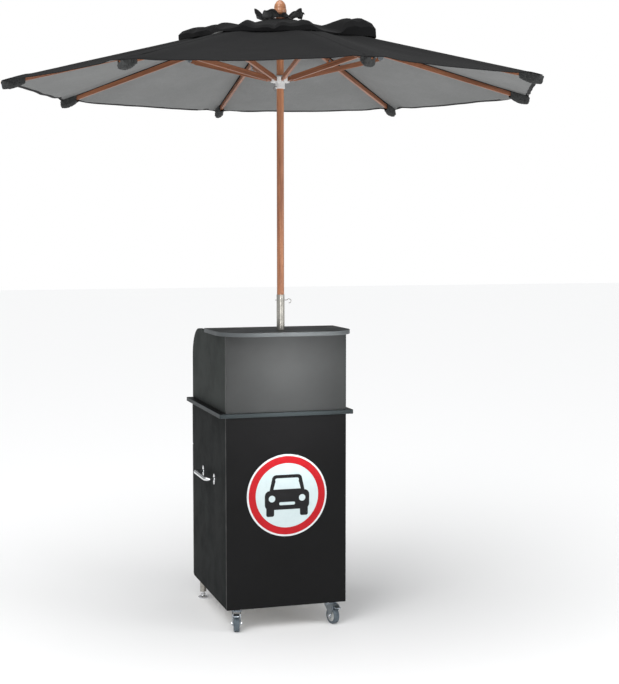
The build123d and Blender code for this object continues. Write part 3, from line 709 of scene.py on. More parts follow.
# ------------------------------------------------------------------ cabinet
@dataclass
class Cabinet:
    """The fixed boards, with their fittings and the printed sign."""

    sign_height: float = 0.494
    sign_ring: tuple[float, float] = (0.1175, 0.1435)
    print_thickness: float = 0.25 * MM
    car_scale: float = 1.35 * MM
    # the upper front's black melamine lightened to grey, a painted reflection
    black_with_painted_reflection: Color = (0.030, 0.031, 0.031)
    band: Color = (0.026, 0.032, 0.034)
    matt: float = 0.6
    cap_inset: float = 0.030
    cap_margins: tuple[float, float] = (0.045, 0.055)

    def dress_boards(self, shop: Workshop) -> None:
        """Faces each board with the melamine and edge band that it has; the upper front and its cheeks
        are lightened to paint the reflection on them.
        """
        both = ((UP, WHITE), (DOWN, WHITE))
        black = ((UP, BLACK), (DOWN, BLACK))
        slate: Color = (0.014, 0.0155, 0.0155)
        for side, inward in (("left", 1.0), ("right", -1.0)):
            inner = (((inward, 0.0, 0.0), WHITE),)
            board = Laminate(f"side_board_{side}", slate, inner, self.matt, 0.02)
            shop.dress(board, f"side_panel_{side}")
        shop.dress(Laminate("front_board", BLACK, (((0.0, 1.0, 0.0), WHITE),)), "front_panel")
        shop.dress(Laminate("shelf_board", BLACK, both), "shelf", "bottom_panel")
        shop.dress(Laminate("block_board", WHITE), "socket_block")
        rear = (((0.0, 1.0, 0.0), BLACK),)
        # The upper front's grey is a painted reflection on black melamine.
        shop.dress(Laminate("upper_board", self.black_with_painted_reflection, rear, specular=0.2), "upper_front")
        # The cheeks' grey, lighter than the side boards below, is a painted reflection on the top of
        # the sides.
        cheek = Laminate("cheek_board", (0.034, 0.038, 0.036), roughness=self.matt, specular=0.03)
        shop.dress(cheek, "upper_sides")
        shop.dress(Laminate("ledge_board", self.band, black), "worktop")
        faces = ((UP, slate), (DOWN, BLACK))
        shop.dress(Laminate("top_board", (0.085, 0.092, 0.095), faces), "top_board")

    def dress_fittings(self, shop: Workshop) -> None:
        """Plates the handles, hinge arms and leg mounts."""
        shop.dress(Tint.CHROME, "side_handles")
        shop.dress(Tint.NICKEL, "hinge_plates", "hinge_links")
        shop.dress(Tint.STEEL, "leg_mounts")
        shop.dress(Tint.POWDER, "drawer_channels")

    def sign(self, shop: Workshop) -> None:
        """Prints the sign: a red ring, a pale field and the plain front view of a car."""
        shop.dress(Tint.SIGN_WHITE, "sign_disc")
        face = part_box("sign_disc")[0].y
        thick = self.print_thickness
        upright = stand(0, face, self.sign_height, (90, 0, 0))
        inner, outer = self.sign_ring
        ring = Shape()
        profile = [(inner, 0), (outer, 0), (outer, thick), (inner, thick), (inner, 0)]
        ring.lathe(profile, upright, 160)
        shop.piece("sign_red_ring", ring, "cabinet", "sign_film", [Tint.SIGN_RED])
        disc = Shape()
        disc.lathe([(0, 0), (inner, 0), (inner, thick), (0, thick)], upright, 160)
        shop.piece("sign_pale_field", disc, "cabinet", "sign_film", [Tint.SIGN_FIELD])
        car = Shape()
        for n, (outline, kind) in enumerate(self._car()):
            level = thick * (1.5 + kind) + 0.03 * MM * n
            scaled = [(x * self.car_scale, y * self.car_scale) for x, y in outline]
            car.slab(scaled, thick, upright @ stand(0, 0, level), 0.06 * MM, kind)
        shop.piece("sign_car", car, "cabinet", "sign_film", [Tint.SIGN_BLACK, Tint.SIGN_FIELD])

    @staticmethod
    def _car() -> list[tuple[list[Point2], int]]:
        """Returns the car's outlines, 124 units wide, the black ones 0 and the pale ones 1."""
        roof = [(-50, 8), (50, 8), (43, 40), *arc((30, 44), 12, 0, 90, 4),
                *arc((-30, 44), 12, 90, 180, 4), (-43, 40)]
        body = [(x, y - 12) for x, y in rounded(62, 26, 14)]
        tyres = [[(x + side * 47, y - 42) for x, y in rounded(11, 14, 5)] for side in (-1, 1)]
        glass = [(-38, 17), (38, 17), (32, 39), *arc((28, 42), 5, 0, 90, 3),
                 *arc((-28, 42), 5, 90, 180, 3), (-32, 39)]
        lamps = [[(x + side * 42, y - 8) for x, y in arc((0, 0), 9, 0, 345, 23)] for side in (-1, 1)]
        grille = [(x, y - 22) for x, y in rounded(22, 4, 3.5)]
        return [(o, 0) for o in (roof, body, *tyres)] + [(o, 1) for o in (glass, *lamps, grille)]

    def small_trim(self, shop: Workshop) -> None:
        """Adds the joint caps inside the cupboard and the fixing screws."""
        shelf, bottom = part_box("shelf"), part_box("bottom_panel")
        caps, profile = Shape(), mm((0, 0), (8, 0), (8, 0.5), (7, 1.1), (0, 1.2))
        for level in (shelf[1].z, bottom[1].z):
            for x in (shelf[0].x + self.cap_inset, shelf[1].x - self.cap_inset):
                for y in (shelf[0].y + self.cap_margins[0], shelf[1].y - self.cap_margins[1]):
                    caps.lathe(profile, stand(x, y, level), 28)
        shop.piece("joint_caps", caps, "cabinet", "white_plastic", [Tint.WHITE_PLASTIC])

        screws = Shape()
        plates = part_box("hinge_plates")
        for z in HINGE_HEIGHTS:
            for lift in (-14 * MM, 14 * MM):
                point = Vector((plates[0].x + 3 * MM, plates[0].y + 17 * MM, z + lift))
                add_screw(screws, point, Vector((1, 0, 0)))
        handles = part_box("side_handles")
        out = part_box("side_panel_right")[1].x + 3.5 * MM
        for side in (-1, 1):
            for y in (handles[0].y + 9 * MM, handles[1].y - 9 * MM):
                point = Vector((side * out, y, HANDLE_HEIGHT - 13 * MM))
                add_screw(screws, point, Vector((side, 0, 0)), 2.6 * MM)
        shop.piece("cabinet_screws", screws, "cabinet", "zinc", SCREW)

    def make(self, shop: Workshop) -> None:
        """Dresses and builds everything fixed."""
        self.dress_boards(shop)
        self.dress_fittings(shop)
        self.sign(shop)
        self.small_trim(shop)


@dataclass
class Castors:
    """The two braked swivel castors and the two levelling feet."""

    trail: float = 20 * MM
    wheel: float = 30 * MM
    rim: float = 21.5 * MM
    half_width: float = 11 * MM
    bolt_spread: float = 23 * MM
    plate_under: float = 82.5 * MM
    headings: dict[str, float] = field(default_factory=lambda: {"left": -105.0, "right": -75.0})

    def place(self, side: str) -> Matrix:
        """Returns where a castor stands: its king pin on the floor, turned to its heading."""
        x, y, _ = joint_place(f"castor_{side}_swivel")
        return stand(x, y, 0) @ spin(self.headings[side])

    def wheels(self, shop: Workshop, side: str) -> None:
        """Turns one wheel: a grey tyre on a ribbed plastic core."""
        axle = self.place(side) @ stand(self.trail, 0, self.wheel, (-90, 0, 0))
        half, rim, radius = self.half_width, self.rim, self.wheel
        shoulder = arc((radius - 3.5 * MM, half - 3.5 * MM), 3.5 * MM, 90, 0, 5)
        edge = [(rim, half - 1.5 * MM), (rim + 2 * MM, half - 0.4 * MM), *shoulder]
        groove = [(radius, 2.2 * MM), (radius - 0.8 * MM, 1.8 * MM)]
        upper = edge + groove
        tyre = Shape()
        tyre.lathe(upper + [(r, -z) for r, z in reversed(upper)] + [upper[0]], axle, 72)
        core = [(4.06 * MM, half + 1 * MM), (9 * MM, half + 1 * MM), (10.5 * MM, half - 3 * MM),
                (rim - 3 * MM, half - 3.6 * MM), (rim - 1.6 * MM, half - 1.2 * MM),
                (rim, half - 1.6 * MM)]
        tyre.lathe(core + [(r, -z) for r, z in reversed(core)] + [core[0]], axle, 72, 1)
        for face in (-1, 1):
            for n in range(6):
                web = spin(60 * n) @ stand(14.2 * MM, 0, face * (half - 2.7 * MM))
                tyre.slab(rounded(4.6 * MM, 0.8 * MM, 0.3 * MM, 2), 1.6 * MM, axle @ web, 0.2 * MM, 1)
        shop.piece(f"castor_tyre_{side}", tyre, f"wheel_{side}", "grey_rubber",
                   [Tint.TYRE, Tint.WHEEL], [f"castor_wheel_{side}"])

    def hardware(self, shop: Workshop, side: str) -> None:
        """Adds the axle's nuts and the swivel head's race."""
        place = self.place(side)
        parts = Shape()
        for face in (-1, 1):
            point = place @ Vector((self.trail, face * 15.1 * MM, self.wheel))
            out = place.to_3x3() @ Vector((0, face, 0))
            seat = facing(point, out)
            parts.lathe(mm((0, 0), (7, 0), (7, 1), (0, 1)), seat, 32)
            nut = arc((0, 0), 6.2 * MM, 0, 300, 5)
            parts.slab(nut, 4 * MM, seat @ stand(0, 0, 3 * MM), 0.5 * MM)
            parts.lathe(mm((0, 5), (2.6, 5), (2.3, 6), (0, 6.2)), seat, 24)
        race = mm((20, 76.6), (22.6, 77.2), (23.2, 79), (22.4, 80.6), (20, 81), (20, 76.6))
        parts.lathe(race, place, 56)
        shop.piece(f"castor_hardware_{side}", parts, f"castor_{side}", "zinc", [Tint.CHROME])

    def plate_screws(self, shop: Workshop) -> None:
        """Adds the screws that hold the castor plates."""
        screws = Shape()
        for side in ("left", "right"):
            middle = self.place(side).translation
            for x in (-self.bolt_spread, self.bolt_spread):
                for y in (-self.bolt_spread, self.bolt_spread):
                    add_screw(screws, middle + Vector((x, y, self.plate_under)), Vector(DOWN), 3 * MM)
        shop.piece("castor_screws", screws, "cabinet", "zinc", SCREW)

    def make(self, shop: Workshop) -> None:
        """Builds the wheels and plates the steel."""
        for side in ("left", "right"):
            self.wheels(shop, side)
            self.hardware(shop, side)
            shop.dress(Tint.ZINC, f"castor_fork_{side}", f"brake_pedal_{side}")
            shop.dress(Tint.CHROME, f"foot_{side}")
        self.plate_screws(shop)


@dataclass
class Drawer:
    """The drawer, its lock, and the key with its ring and tag."""

    lock: tuple[float, float] = (-0.031, 0.756)
    ring: float = 11.5 * MM
    hole_reach: float = 27 * MM

    def hole(self) -> float:
        """Returns how far back the hole in the key's bow is."""
        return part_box("drawer_front")[1].y + self.hole_reach

    def dress_box(self, shop: Workshop) -> None:
        """Faces the drawer's boards and paints its runners."""
        shop.dress(Laminate("drawer_board", (0.016, 0.0155, 0.015)), "drawer_front")
        shop.dress(Laminate("drawer_box_board", WHITE), "drawer_box")
        shop.dress(Tint.POWDER, "drawer_runners")
        shop.dress(Tint.CHROME, "drawer_lock_case")
        shop.dress(Tint.ZINC, "drawer_bolt")

    def key(self, shop: Workshop) -> None:
        """Builds the plug, the key and the split ring."""
        x, z = self.lock
        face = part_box("drawer_front")[1].y
        hole = self.hole()
        plug = Shape()
        seat = stand(x, face - 16 * MM, z, (-90, 0, 0))
        plug.lathe(mm((0, 0), (7, 0), (7, 19), (6.4, 19.5), (0, 19.5)), seat, 40)
        blade = rounded(1 * MM, 4 * MM, 0.3 * MM, 2)
        plug.slab(blade, 12 * MM, seat @ stand(0, 0, 25 * MM), 0.2 * MM)
        shop.piece("drawer_lock_plug", plug, "drawer_key", "chrome", [Tint.CHROME], ["drawer_key"])

        bow = Shape()
        upright = stand(x, hole - 6 * MM, z, (0, 90, 0))
        outline = [(11.6 * MM * math.cos(a), 10.8 * MM * math.sin(a))
                   for a in (math.tau * n / 40 for n in range(40))]
        bow.slab(outline, 3.2 * MM, upright, 0.9 * MM)
        grip = upright @ stand(0, -4 * MM, 0)
        bow.slab(rounded(5.5 * MM, 3.6 * MM, 2 * MM), 4.2 * MM, grip, 0.6 * MM)
        shop.piece("key_bow", bow, "drawer_key", "black_plastic", [Tint.BLACK_PLASTIC])

        link = Shape()
        turn = stand(x, hole, z - self.ring, (90, 0, 45))
        coil, steps = [], 48
        for n in range(2 * steps + 1):
            angle, level = math.tau * n / steps, (n / steps - 1) * 0.55 * MM
            out = self.ring + (0.05 * MM if n > steps else 0.0)
            coil.append(turn @ Vector((out * math.sin(angle), out * math.cos(angle), level)))
        link.tube(coil, 0.62 * MM, 10)
        shop.piece("key_ring", link, "drawer_key", "chrome", [Tint.CHROME])

    def tag(self, shop: Workshop) -> None:
        """Builds the house-shaped tag with its blank slip."""
        x, z = self.lock
        top = z - 2 * self.ring
        place = stand(x, self.hole(), top, (90, 0, 0))
        outline = mm((-6, 5), (-16.2, -8.5), (-16.5, -9.5), (-16.5, -60), (-14.5, -62),
                     (14.5, -62), (16.5, -60), (16.5, -9.5), (16.2, -8.5), (6, 5))
        tag = Shape()
        tag.slab(outline, 2.4 * MM, place, 0.5 * MM)
        for face in (-1, 1):
            level = face * 1.3 * MM
            for middle in (-16.5 * MM, -58.5 * MM):
                edge = place @ stand(0, middle, level)
                tag.slab(rounded(14.3 * MM, 0.6 * MM, 0.3 * MM, 2), 0.5 * MM, edge, 0.1 * MM)
            slip = place @ stand(0, -37.5 * MM, level)
            tag.slab(rounded(13.5 * MM, 20 * MM, 1 * MM), 0.25 * MM, slip, 0.05 * MM, 1)
            eyelet = mm((2.6, 1.0), (4.2, 1.2), (4.4, 1.6), (2.8, 1.7), (2.6, 1.0))
            tag.lathe([(r, face * h) for r, h in eyelet], place, 28, 2)
        shop.piece("key_tag_plate", tag, "key_tag", "tag_plastic", [Tint.TAG, Tint.PAPER, Tint.CHROME],
                   ["key_tag"])

    def make(self, shop: Workshop) -> None:
        """Dresses the drawer and builds what hangs from its lock."""
        self.dress_box(shop)
        self.key(shop)
        self.tag(shop)


@dataclass
class Door:
    """The door with its hooks, lock and hinge cups."""

    lock: tuple[float, float] = (0.179, 0.353)
    case_depth: float = 18 * MM
    case_screws: tuple[Point2, ...] = tuple(mm((-12, 18), (14, 20), (-14, -8), (4, -24)))

    def make(self, shop: Workshop) -> None:
        """Dresses the door and adds its screws."""
        shop.dress(Laminate("door_board", (0.013, 0.013, 0.0135), roughness=0.36), "door_panel")
        shop.dress(Tint.BRASS, "cup_hooks")
        shop.dress(Tint.CHROME, "door_fittings", "door_lock_plug")
        shop.dress(Tint.ZINC, "door_bolt")
        panel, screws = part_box("door_panel"), Shape()
        inward = Vector((0, -1, 0))
        for z in HINGE_HEIGHTS:
            for lift in (-21 * MM, 21 * MM):
                point = Vector((panel[0].x + 22.5 * MM, panel[0].y - 1 * MM, z + lift))
                add_screw(screws, point, inward)
        x, z = self.lock
        for dx, dz in self.case_screws:
            point = Vector((x + dx, panel[0].y - self.case_depth, z + dz))
            add_screw(screws, point, inward, 2.4 * MM)
        shop.piece("door_screws", screws, "door", "zinc", SCREW)


# ------------------------------------------------------------------ parasol timber
@dataclass
class Mast:
    """The steel tube, the pole, the hub, the finial and the sliding runner."""

    bore: float = 13.4 * MM
    collar: float = 17 * MM
    crown: float = 34 * MM
    slot_half: float = 5.4 * MM
    crown_span: tuple[float, float] = (-10 * MM, 9 * MM)
    collar_span: tuple[float, float] = (-32 * MM, 15 * MM)
    pivot_height: float = 1.988

    def dress(self, shop: Workshop) -> None:
        """Polishes the steel and oils the wood."""
        grain_up = tuple(Euler((0.0, -math.pi / 2, 0.0)))
        pole = Timber("pole_timber", (0.25, 0.085, 0.036), (0.56, 0.235, 0.105), grain_up, coat=0.5)
        shop.dress(Tint.STEEL, "mast_tube", "retaining_pin")
        shop.dress(pole, "pole")
        shop.dress(Timber("hub_timber", turn=grain_up, shift=2.0), "hub")
        finial = Timber("finial_timber", (0.36, 0.13, 0.055), (0.72, 0.34, 0.16), grain_up, 3.0,
                        0.25, 0.8)
        shop.dress(finial, "finial")

    def runner(self, shop: Workshop) -> None:
        """Moulds the runner: a ringed collar with eight lobes, and its wire hook."""
        low, top = self.collar_span
        wall = [(self.bore, low), (15.5 * MM, low), (self.collar, low + 2 * MM)]
        for ring in (low + 7 * MM, low + 11 * MM, low + 15 * MM):
            wall += [(self.collar, ring), (self.collar - 0.9 * MM, ring + 0.6 * MM),
                     (self.collar - 0.9 * MM, ring + 1.2 * MM), (self.collar, ring + 1.8 * MM)]
        wall += [(self.collar, top - 2 * MM), (15.8 * MM, top), (self.bore, top), (self.bore, low)]
        body = Shape()
        body.lathe(wall, stand(0, 0, self.pivot_height), 64)
        reach = (self.collar - 1 * MM, self.crown)
        spread = [math.degrees(math.asin(self.slot_half / r)) for r in reach]
        thick = self.crown_span[1] - self.crown_span[0]
        middle = self.pivot_height + sum(self.crown_span) / 2
        for n in range(8):
            inner = arc((0, 0), reach[0], 45 - spread[0], spread[0], 2)
            outer = arc((0, 0), reach[1], spread[1], 45 - spread[1], 6)
            body.slab(outer + inner, thick, stand(0, 0, middle, (0, 0, 45 * n)), 1.0 * MM)
        shop.piece("runner_body", body, "runner", "white_plastic", [Tint.WHITE_PLASTIC], ["runner"])

        hook, turn = Shape(), stand(0, 0, self.pivot_height + low, (0, 0, 22.5))
        bend = arc((-self.collar - 5 * MM, -1 * MM), 8 * MM, 70, 292, 24)
        path = [(-self.collar + 0.5 * MM, 8 * MM), *bend]
        hook.tube([turn @ Vector((x, 0, z)) for x, z in path], 1.0 * MM)
        shop.piece("runner_hook", hook, "runner", "zinc", [Tint.DARK_STEEL])

        latch, side = Shape(), stand(0, 0, self.pivot_height, (0, 0, -22.5))
        tab = mm((14, 3), (26, 5), (31, 12), (28, 14), (14, 12))
        latch.slab(tab, 4 * MM, side @ stand(0, 0, 6 * MM, (90, 0, 0)), 0.5 * MM)
        shop.piece("runner_latch", latch, "runner", "white_plastic", [Tint.WHITE_PLASTIC])

    def make(self, shop: Workshop) -> None:
        """Dresses the mast and moulds the runner."""
        self.dress(shop)
        self.runner(shop)


@dataclass
class Spokes:
    """The eight ribs and the eight struts that hold them up."""

    count: int = 8
    slope: float = 14.3
    rib: tuple[float, float, float] = (0.962, 10 * MM, 20 * MM)
    strut_at: float = 0.350
    strut_drop: float = 20 * MM
    strut_section: tuple[float, float] = (10 * MM, 18 * MM)
    tongue: tuple[float, float] = (7 * MM, 6.5 * MM)
    tongue_length: float = 21 * MM
    runner_pivot: tuple[float, float] = (30 * MM, 1.988)

    def __post_init__(self) -> None:
        """Reads the ribs' pivot from the frame."""
        x, _, z = joint_place("rib_1_fold")
        self.pivot = (x, z)

    def turn(self, number: int) -> Matrix:
        """Returns the turn about the pole of one spoke, counted from 0."""
        return spin(360 / self.count * number)

    def ribs(self, shop: Workshop, number: int) -> None:
        """Planes one rib with its eye and tapered end, and the steel bracket under it."""
        length, width, depth = self.rib
        half = depth / 2
        place = self.turn(number) @ stand(self.pivot[0], 0, self.pivot[1], (0, self.slope, 0))
        lie = place @ stand(0, 0, 0, (90, 0, 0))
        outline = [*arc((0, 0), half, 90, 270, 12), (60 * MM, -half), (length, -half + 5 * MM),
                   (length, half)]
        bar = Shape()
        bar.slab(outline, width, lie, 1.0 * MM)
        turn = tuple(place.to_euler())
        wood = Timber(f"rib_timber_{number + 1}", turn=turn, shift=1.7 * number)
        made = shop.piece(f"rib_bar_{number + 1}", bar, f"rib_{number + 1}", "hardwood", [wood])
        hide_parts(f"rib_{number + 1}")

        bracket = Shape()
        at, drop = self.strut_at, self.strut_drop
        cheek = [(at - 14 * MM, 2 * MM), (at - 8 * MM, -drop - 3 * MM),
                 *arc((at, -drop), 6 * MM, 215, 325, 6),
                 (at + 8 * MM, -drop - 3 * MM), (at + 14 * MM, 2 * MM)]
        for side in (-1, 1):
            bracket.slab(cheek, 1.5 * MM, lie @ stand(0, 0, side * (width / 2 + 0.75 * MM)), 0.3 * MM)
            out = side * (width / 2 + 1.5 * MM)
            head = mm((0, 0), (3.2, 0), (2.9, 0.9), (0, 1.3))
            flip = lie @ stand(at, -drop, out, (0 if side > 0 else 180, 0, 0))
            bracket.lathe(head, flip, 20)
        bracket.tube([lie @ Vector((at, -drop, s * width / 2)) for s in (-1, 1)], 2 * MM)
        shop.piece(f"rib_bracket_{number + 1}", bracket, f"rib_{number + 1}", "zinc", [Tint.ZINC])

    def struts(self, shop: Workshop, number: int) -> None:
        """Planes one strut with its narrower tongues."""
        slope = math.radians(self.slope)
        at, drop = self.strut_at, self.strut_drop
        pin = (self.pivot[0] + at * math.cos(slope) - drop * math.sin(slope),
               self.pivot[1] - at * math.sin(slope) - drop * math.cos(slope))
        run, rise = pin[0] - self.runner_pivot[0], pin[1] - self.runner_pivot[1]
        length, tilt = math.hypot(run, rise), math.degrees(math.atan2(rise, run))
        place = self.turn(number) @ stand(pin[0], 0, pin[1], (0, -180 - tilt, 0))
        lie = place @ stand(0, 0, 0, (90, 0, 0))
        width, half = self.strut_section[0], self.strut_section[1] / 2
        thin, tongue = self.tongue
        root = self.tongue_length
        bar = Shape()
        main = [(root - 4 * MM, -half + 4 * MM), (root, -half), (length - root, -half),
                (length - root + 4 * MM, -half + 4 * MM), (length - root + 4 * MM, half - 4 * MM),
                (length - root, half), (root, half), (root - 4 * MM, half - 4 * MM)]
        bar.slab(main, width, lie, 1.0 * MM)
        blade = [*arc((0, 0), tongue, 90, 270, 12), *arc((length, 0), tongue, -90, 90, 12)]
        bar.slab(blade, thin, lie, 0.5 * MM)
        turn = tuple(place.to_euler())
        wood = Timber(f"strut_timber_{number + 1}", turn=turn, shift=11.3 + 2.1 * number)
        made = shop.piece(f"strut_bar_{number + 1}", bar, f"strut_{number + 1}", "hardwood", [wood])
        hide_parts(f"strut_{number + 1}")

    def make(self, shop: Workshop) -> None:
        """Builds every rib and strut."""
        for number in range(self.count):
            self.ribs(shop, number)
            self.struts(shop, number)


# ------------------------------------------------------------------ parasol cloth
def ease(value: float) -> float:
    """Returns a smooth step from 0 to 1."""
    value = min(max(value, 0.0), 1.0)
    return value * value * (3 - 2 * value)


def zigzag(value: float) -> float:
    """Returns a triangular wave from 0 to 1 with a period of 1."""
    return 1 - abs(2 * (value % 1) - 1)


@dataclass
class Canopy:
    """The cloth: one panel centred on each rib, so that it can fold with the rib.

    A panel's two edges are the middles of its neighbours' gores, where the cloth of two
    panels meets in one surface. Distances out from the pole are taken along the ribs, so
    an eight-sided hem is one distance.
    """

    spokes: Spokes
    radius: float = 0.980
    opening: float = 0.300
    vent_radius: float = 0.372
    cloth: float = 1.3 * MM
    clearance: float = 1.9 * MM
    sag: float = 9 * MM
    scallop: float = 7 * MM
    crest: float = 5.2 * MM
    crest_at: float = 48 * MM
    crest_width: float = 35 * MM
    keep: float = 0.105
    vent_keep: float = 0.22
    flap: float = 46 * MM
    hem_fold: float = 13 * MM
    tape_half: float = 9 * MM
    vent_opening: float = 52 * MM
    frill: tuple[float, float] = (21 * MM, 88 * MM)
    panel_flat: tuple[float, float] = (0.71, 0.70)
    vent_flat: tuple[float, float] = (0.28, 0.33)
    frill_flat: tuple[float, float] = (0.18, 0.18)
    tape_cloth: float = 0.5 * MM
    tape_end: float = 15 * MM
    pocket_cloth: float = 1.0 * MM
    pocket_span: tuple[float, float] = (-78 * MM, 3 * MM)
    panel_grid: tuple[int, int] = (26, 28)
    vent_grid: tuple[int, int] = (22, 40)
    pocket_grid: tuple[int, int] = (28, 24)
    frill_grid: tuple[int, int] = (14, 160)

    def __post_init__(self) -> None:
        """Works out the gore's geometry."""
        self.half_angle = math.pi / self.spokes.count
        self.lean = math.tan(self.half_angle)

    def rib_top(self, reach: float) -> float:
        """Returns the height of a rib's upper edge at a distance from the pole."""
        slope = math.radians(self.spokes.slope)
        rise = self.spokes.rib[2] / 2 / math.cos(slope)
        return self.spokes.pivot[1] + rise - (reach - self.spokes.pivot[0]) * math.tan(slope)

    def gore(self, inner: float, outer: float) -> float:
        """Returns the area of one panel between two distances out."""
        return self.lean / (1 + self.lean**2) * (outer**2 - inner**2)

    def plan(self, reach: float, across: float) -> tuple[float, float]:
        """Returns distances along and beside the rib of a point at a reach, across from -1 to 1."""
        beside = across * reach * self.lean / (1 + self.lean**2)
        return reach - abs(beside) * self.lean, beside

    def wrinkle(self, number: int, along: float, beside: float, across: float) -> float:
        """Returns the height of the small folds at a point of one panel.

        Args:
            number: of the panel.
            along: distance along the rib.
            beside: distance beside it.
            across: from -1 to 1 over the panel.
        """
        fade = math.cos(math.pi / 2 * across) ** 2
        tip = Vector((self.radius - along, beside))
        fan = noise.noise(Vector((math.atan2(tip.y, tip.x) * 7.0, 3.1 * number, 0.5)))
        near = fade * 5.0 * MM * fan * ease(1 - tip.length / 0.36) * ease(tip.length / 0.06)
        angle = math.tau * number / self.spokes.count
        world = Vector((along * math.cos(angle) - beside * math.sin(angle),
                        along * math.sin(angle) + beside * math.cos(angle), 0.0))
        soft = noise.noise(world * 4.2) + 0.5 * noise.noise(world * 11.0 + Vector((5, 1, 0)))
        return near + 3.4 * MM * soft * math.sin(math.pi / 2 * abs(across)) ** 2

    def surface(self, number: int, reach: float, across: float, lift: float) -> Vector:
        """Returns a point of the main tier.

        Args:
            number: of the panel, counted from 0.
            reach: distance out, taken along the ribs.
            across: from -1 to 1 over the panel.
            lift: height above the cloth's middle surface.
        """
        along, beside = self.plan(reach, across)
        middle = math.sin(math.pi / 2 * across) ** 2
        share = (reach - self.opening) / (self.radius - self.opening)
        dip = self.sag * middle * (0.25 + 0.75 * math.sin(math.pi * min(share, 0.9)))
        crest = self.crest * math.exp(-(((abs(beside) - self.crest_at) / self.crest_width) ** 2))
        height = self.rib_top(reach) + self.clearance + crest + lift - dip
        height += self.wrinkle(number, along, beside, across)
        return self.spokes.turn(number) @ Vector((along, beside, height))

    def hem_reach(self, across: float) -> float:
        """Returns how far out the hem is, drawn in between the ribs."""
        flutter = 0.25 * math.sin(5 * math.pi / 2 * abs(across)) ** 2
        return self.radius - self.scallop * (math.sin(math.pi / 2 * across) ** 2 + flutter)

    def panel(self, shop: Workshop, number: int) -> None:
        """Cuts one main panel with its hem binding and the tape over the rib."""
        down, across = self.panel_grid
        shares = [n / down for n in range(down + 1)]
        columns = [2 * n / across - 1 for n in range(across + 1)]
        start = self.opening
        rows = [[self.surface(number, start + share * (self.hem_reach(a) - start), a, 0.0)
                 for a in columns] for share in shares]
        shape = Shape()
        shape.cloth(rows, self.cloth, (0, 1, 2))
        proud, fold = self.cloth / 2 + 0.5 * MM, self.hem_fold
        corners = ((1.0 * MM, proud), (-fold, proud), (-fold, -proud), (1.0 * MM, -proud))
        hem = [[self.surface(number, self.hem_reach(a) + out, a, up) for out, up in corners]
               for a in columns]
        shape.patch(hem, 2, True)
        shape.cap(hem[0], 2)
        shape.cap(hem[-1], 2)
        steps, run = 24, self.radius - self.tape_end - start
        reaches = [start + n * run / steps for n in range(steps + 1)]
        for side in (proud, -proud):
            rows = self.tape(number, reaches, self.tape_half, side)
            shape.cloth(rows, self.tape_cloth, (2, 2, 2))
        made = shop.piece(f"canopy_panel_{number + 1}", shape, f"rib_{number + 1}", "black_cloth",
                          CANVAS)
        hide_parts("canopy")
        self.fold(made, number, self.keep)
        flat = self.panel_flat
        area = min(self.gore(start, self.radius), flat[0] * flat[1])
        self.pocket(shop, number)

    def tape(self, number: int, reaches: Sequence[float], half: float,
             level: float) -> list[list[Vector]]:
        """Returns the rows of a tape of even width along a rib.

        Args:
            number: of the panel.
            reaches: distances out, in order.
            half: half its width.
            level: its height from the cloth's middle surface.

        Returns:
            Rows of points across the tape.
        """
        rows = []
        for reach in reaches:
            edge = half * (1 + self.lean**2) / (reach * self.lean)
            rows.append([self.surface(number, reach, a, level if 0 < n < 4 else level * 0.7)
                         for n, a in enumerate((-edge, -0.8 * edge, 0.0, 0.8 * edge, edge))])
        return rows

    def fold(self, piece: bpy.types.Object, number: int, keep: float) -> None:
        """Gives a panel its own copy of its mesh."""
        across = self.spokes.turn(number) @ Vector((0, 1, 0))
        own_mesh(piece)

    def pocket(self, shop: Workshop, number: int) -> bpy.types.Object:
        """Sews the creased pocket that holds a rib's end.

        Args:
            shop: hands out the finishes.
            number: of the panel, counted from 0.

        Returns:
            The pocket.
        """
        start, end = (self.radius + reach for reach in self.pocket_span)
        down, across = self.pocket_grid
        rows = []
        for i in range(down + 1):
            share = i / down
            along = start + share * (end - start)
            close = ease((share - 0.9) / 0.1)
            belly = math.sin(math.pi * share)
            depth = (21.5 + 8 * belly) * (1 - 0.75 * close) * MM
            half = (6.5 + 5.5 * belly) * (1 - 0.4 * close) * MM
            top = self.rib_top(along) + 0.3 * MM
            row = []
            for j in range(across + 1):
                s = 2 * j / across - 1
                bulge = abs(s) ** 2.6
                spot = Vector((share * 5.5 + abs(s) * 3.6, s * 2.6 + number * 5.3, number))
                crease = noise.noise(spot)
                ridge = 4.2 * MM * (1 - abs(2 * abs(crease * 2.6 % 1 - 0.5))) * (1 - close)
                beside = math.copysign(min(1.0, 1.75 * abs(s)) * half + ridge * min(abs(s) * 2, 1), s)
                height = top - depth * (1 - bulge) - ridge * (1 - abs(s))
                out = along + ridge * 0.5 * (share > 0)
                row.append(self.spokes.turn(number) @ Vector((out, beside, height)))
            rows.append(row)
        shape = Shape()
        shape.cloth(rows, self.pocket_cloth, (1, 0, 2))
        return shop.piece(f"canopy_pocket_{number + 1}", shape, f"rib_{number + 1}", "black_cloth",
                          [Tint.CLOTH_POCKET, Tint.CLOTH_TOP, Tint.CLOTH_TAPE], crease=50)

    def flutter(self, angle: float, seed: float) -> float:
        """Returns an irregular wave round the pole at an angle, from about -1 to 1."""
        place = Vector((math.cos(angle), math.sin(angle), 0.0))
        broad = noise.noise(place * 1.9 + Vector((0, 0, seed)))
        return 1.5 * broad + 0.8 * noise.noise(place * 5.0 + Vector((0, 0, seed + 7)))

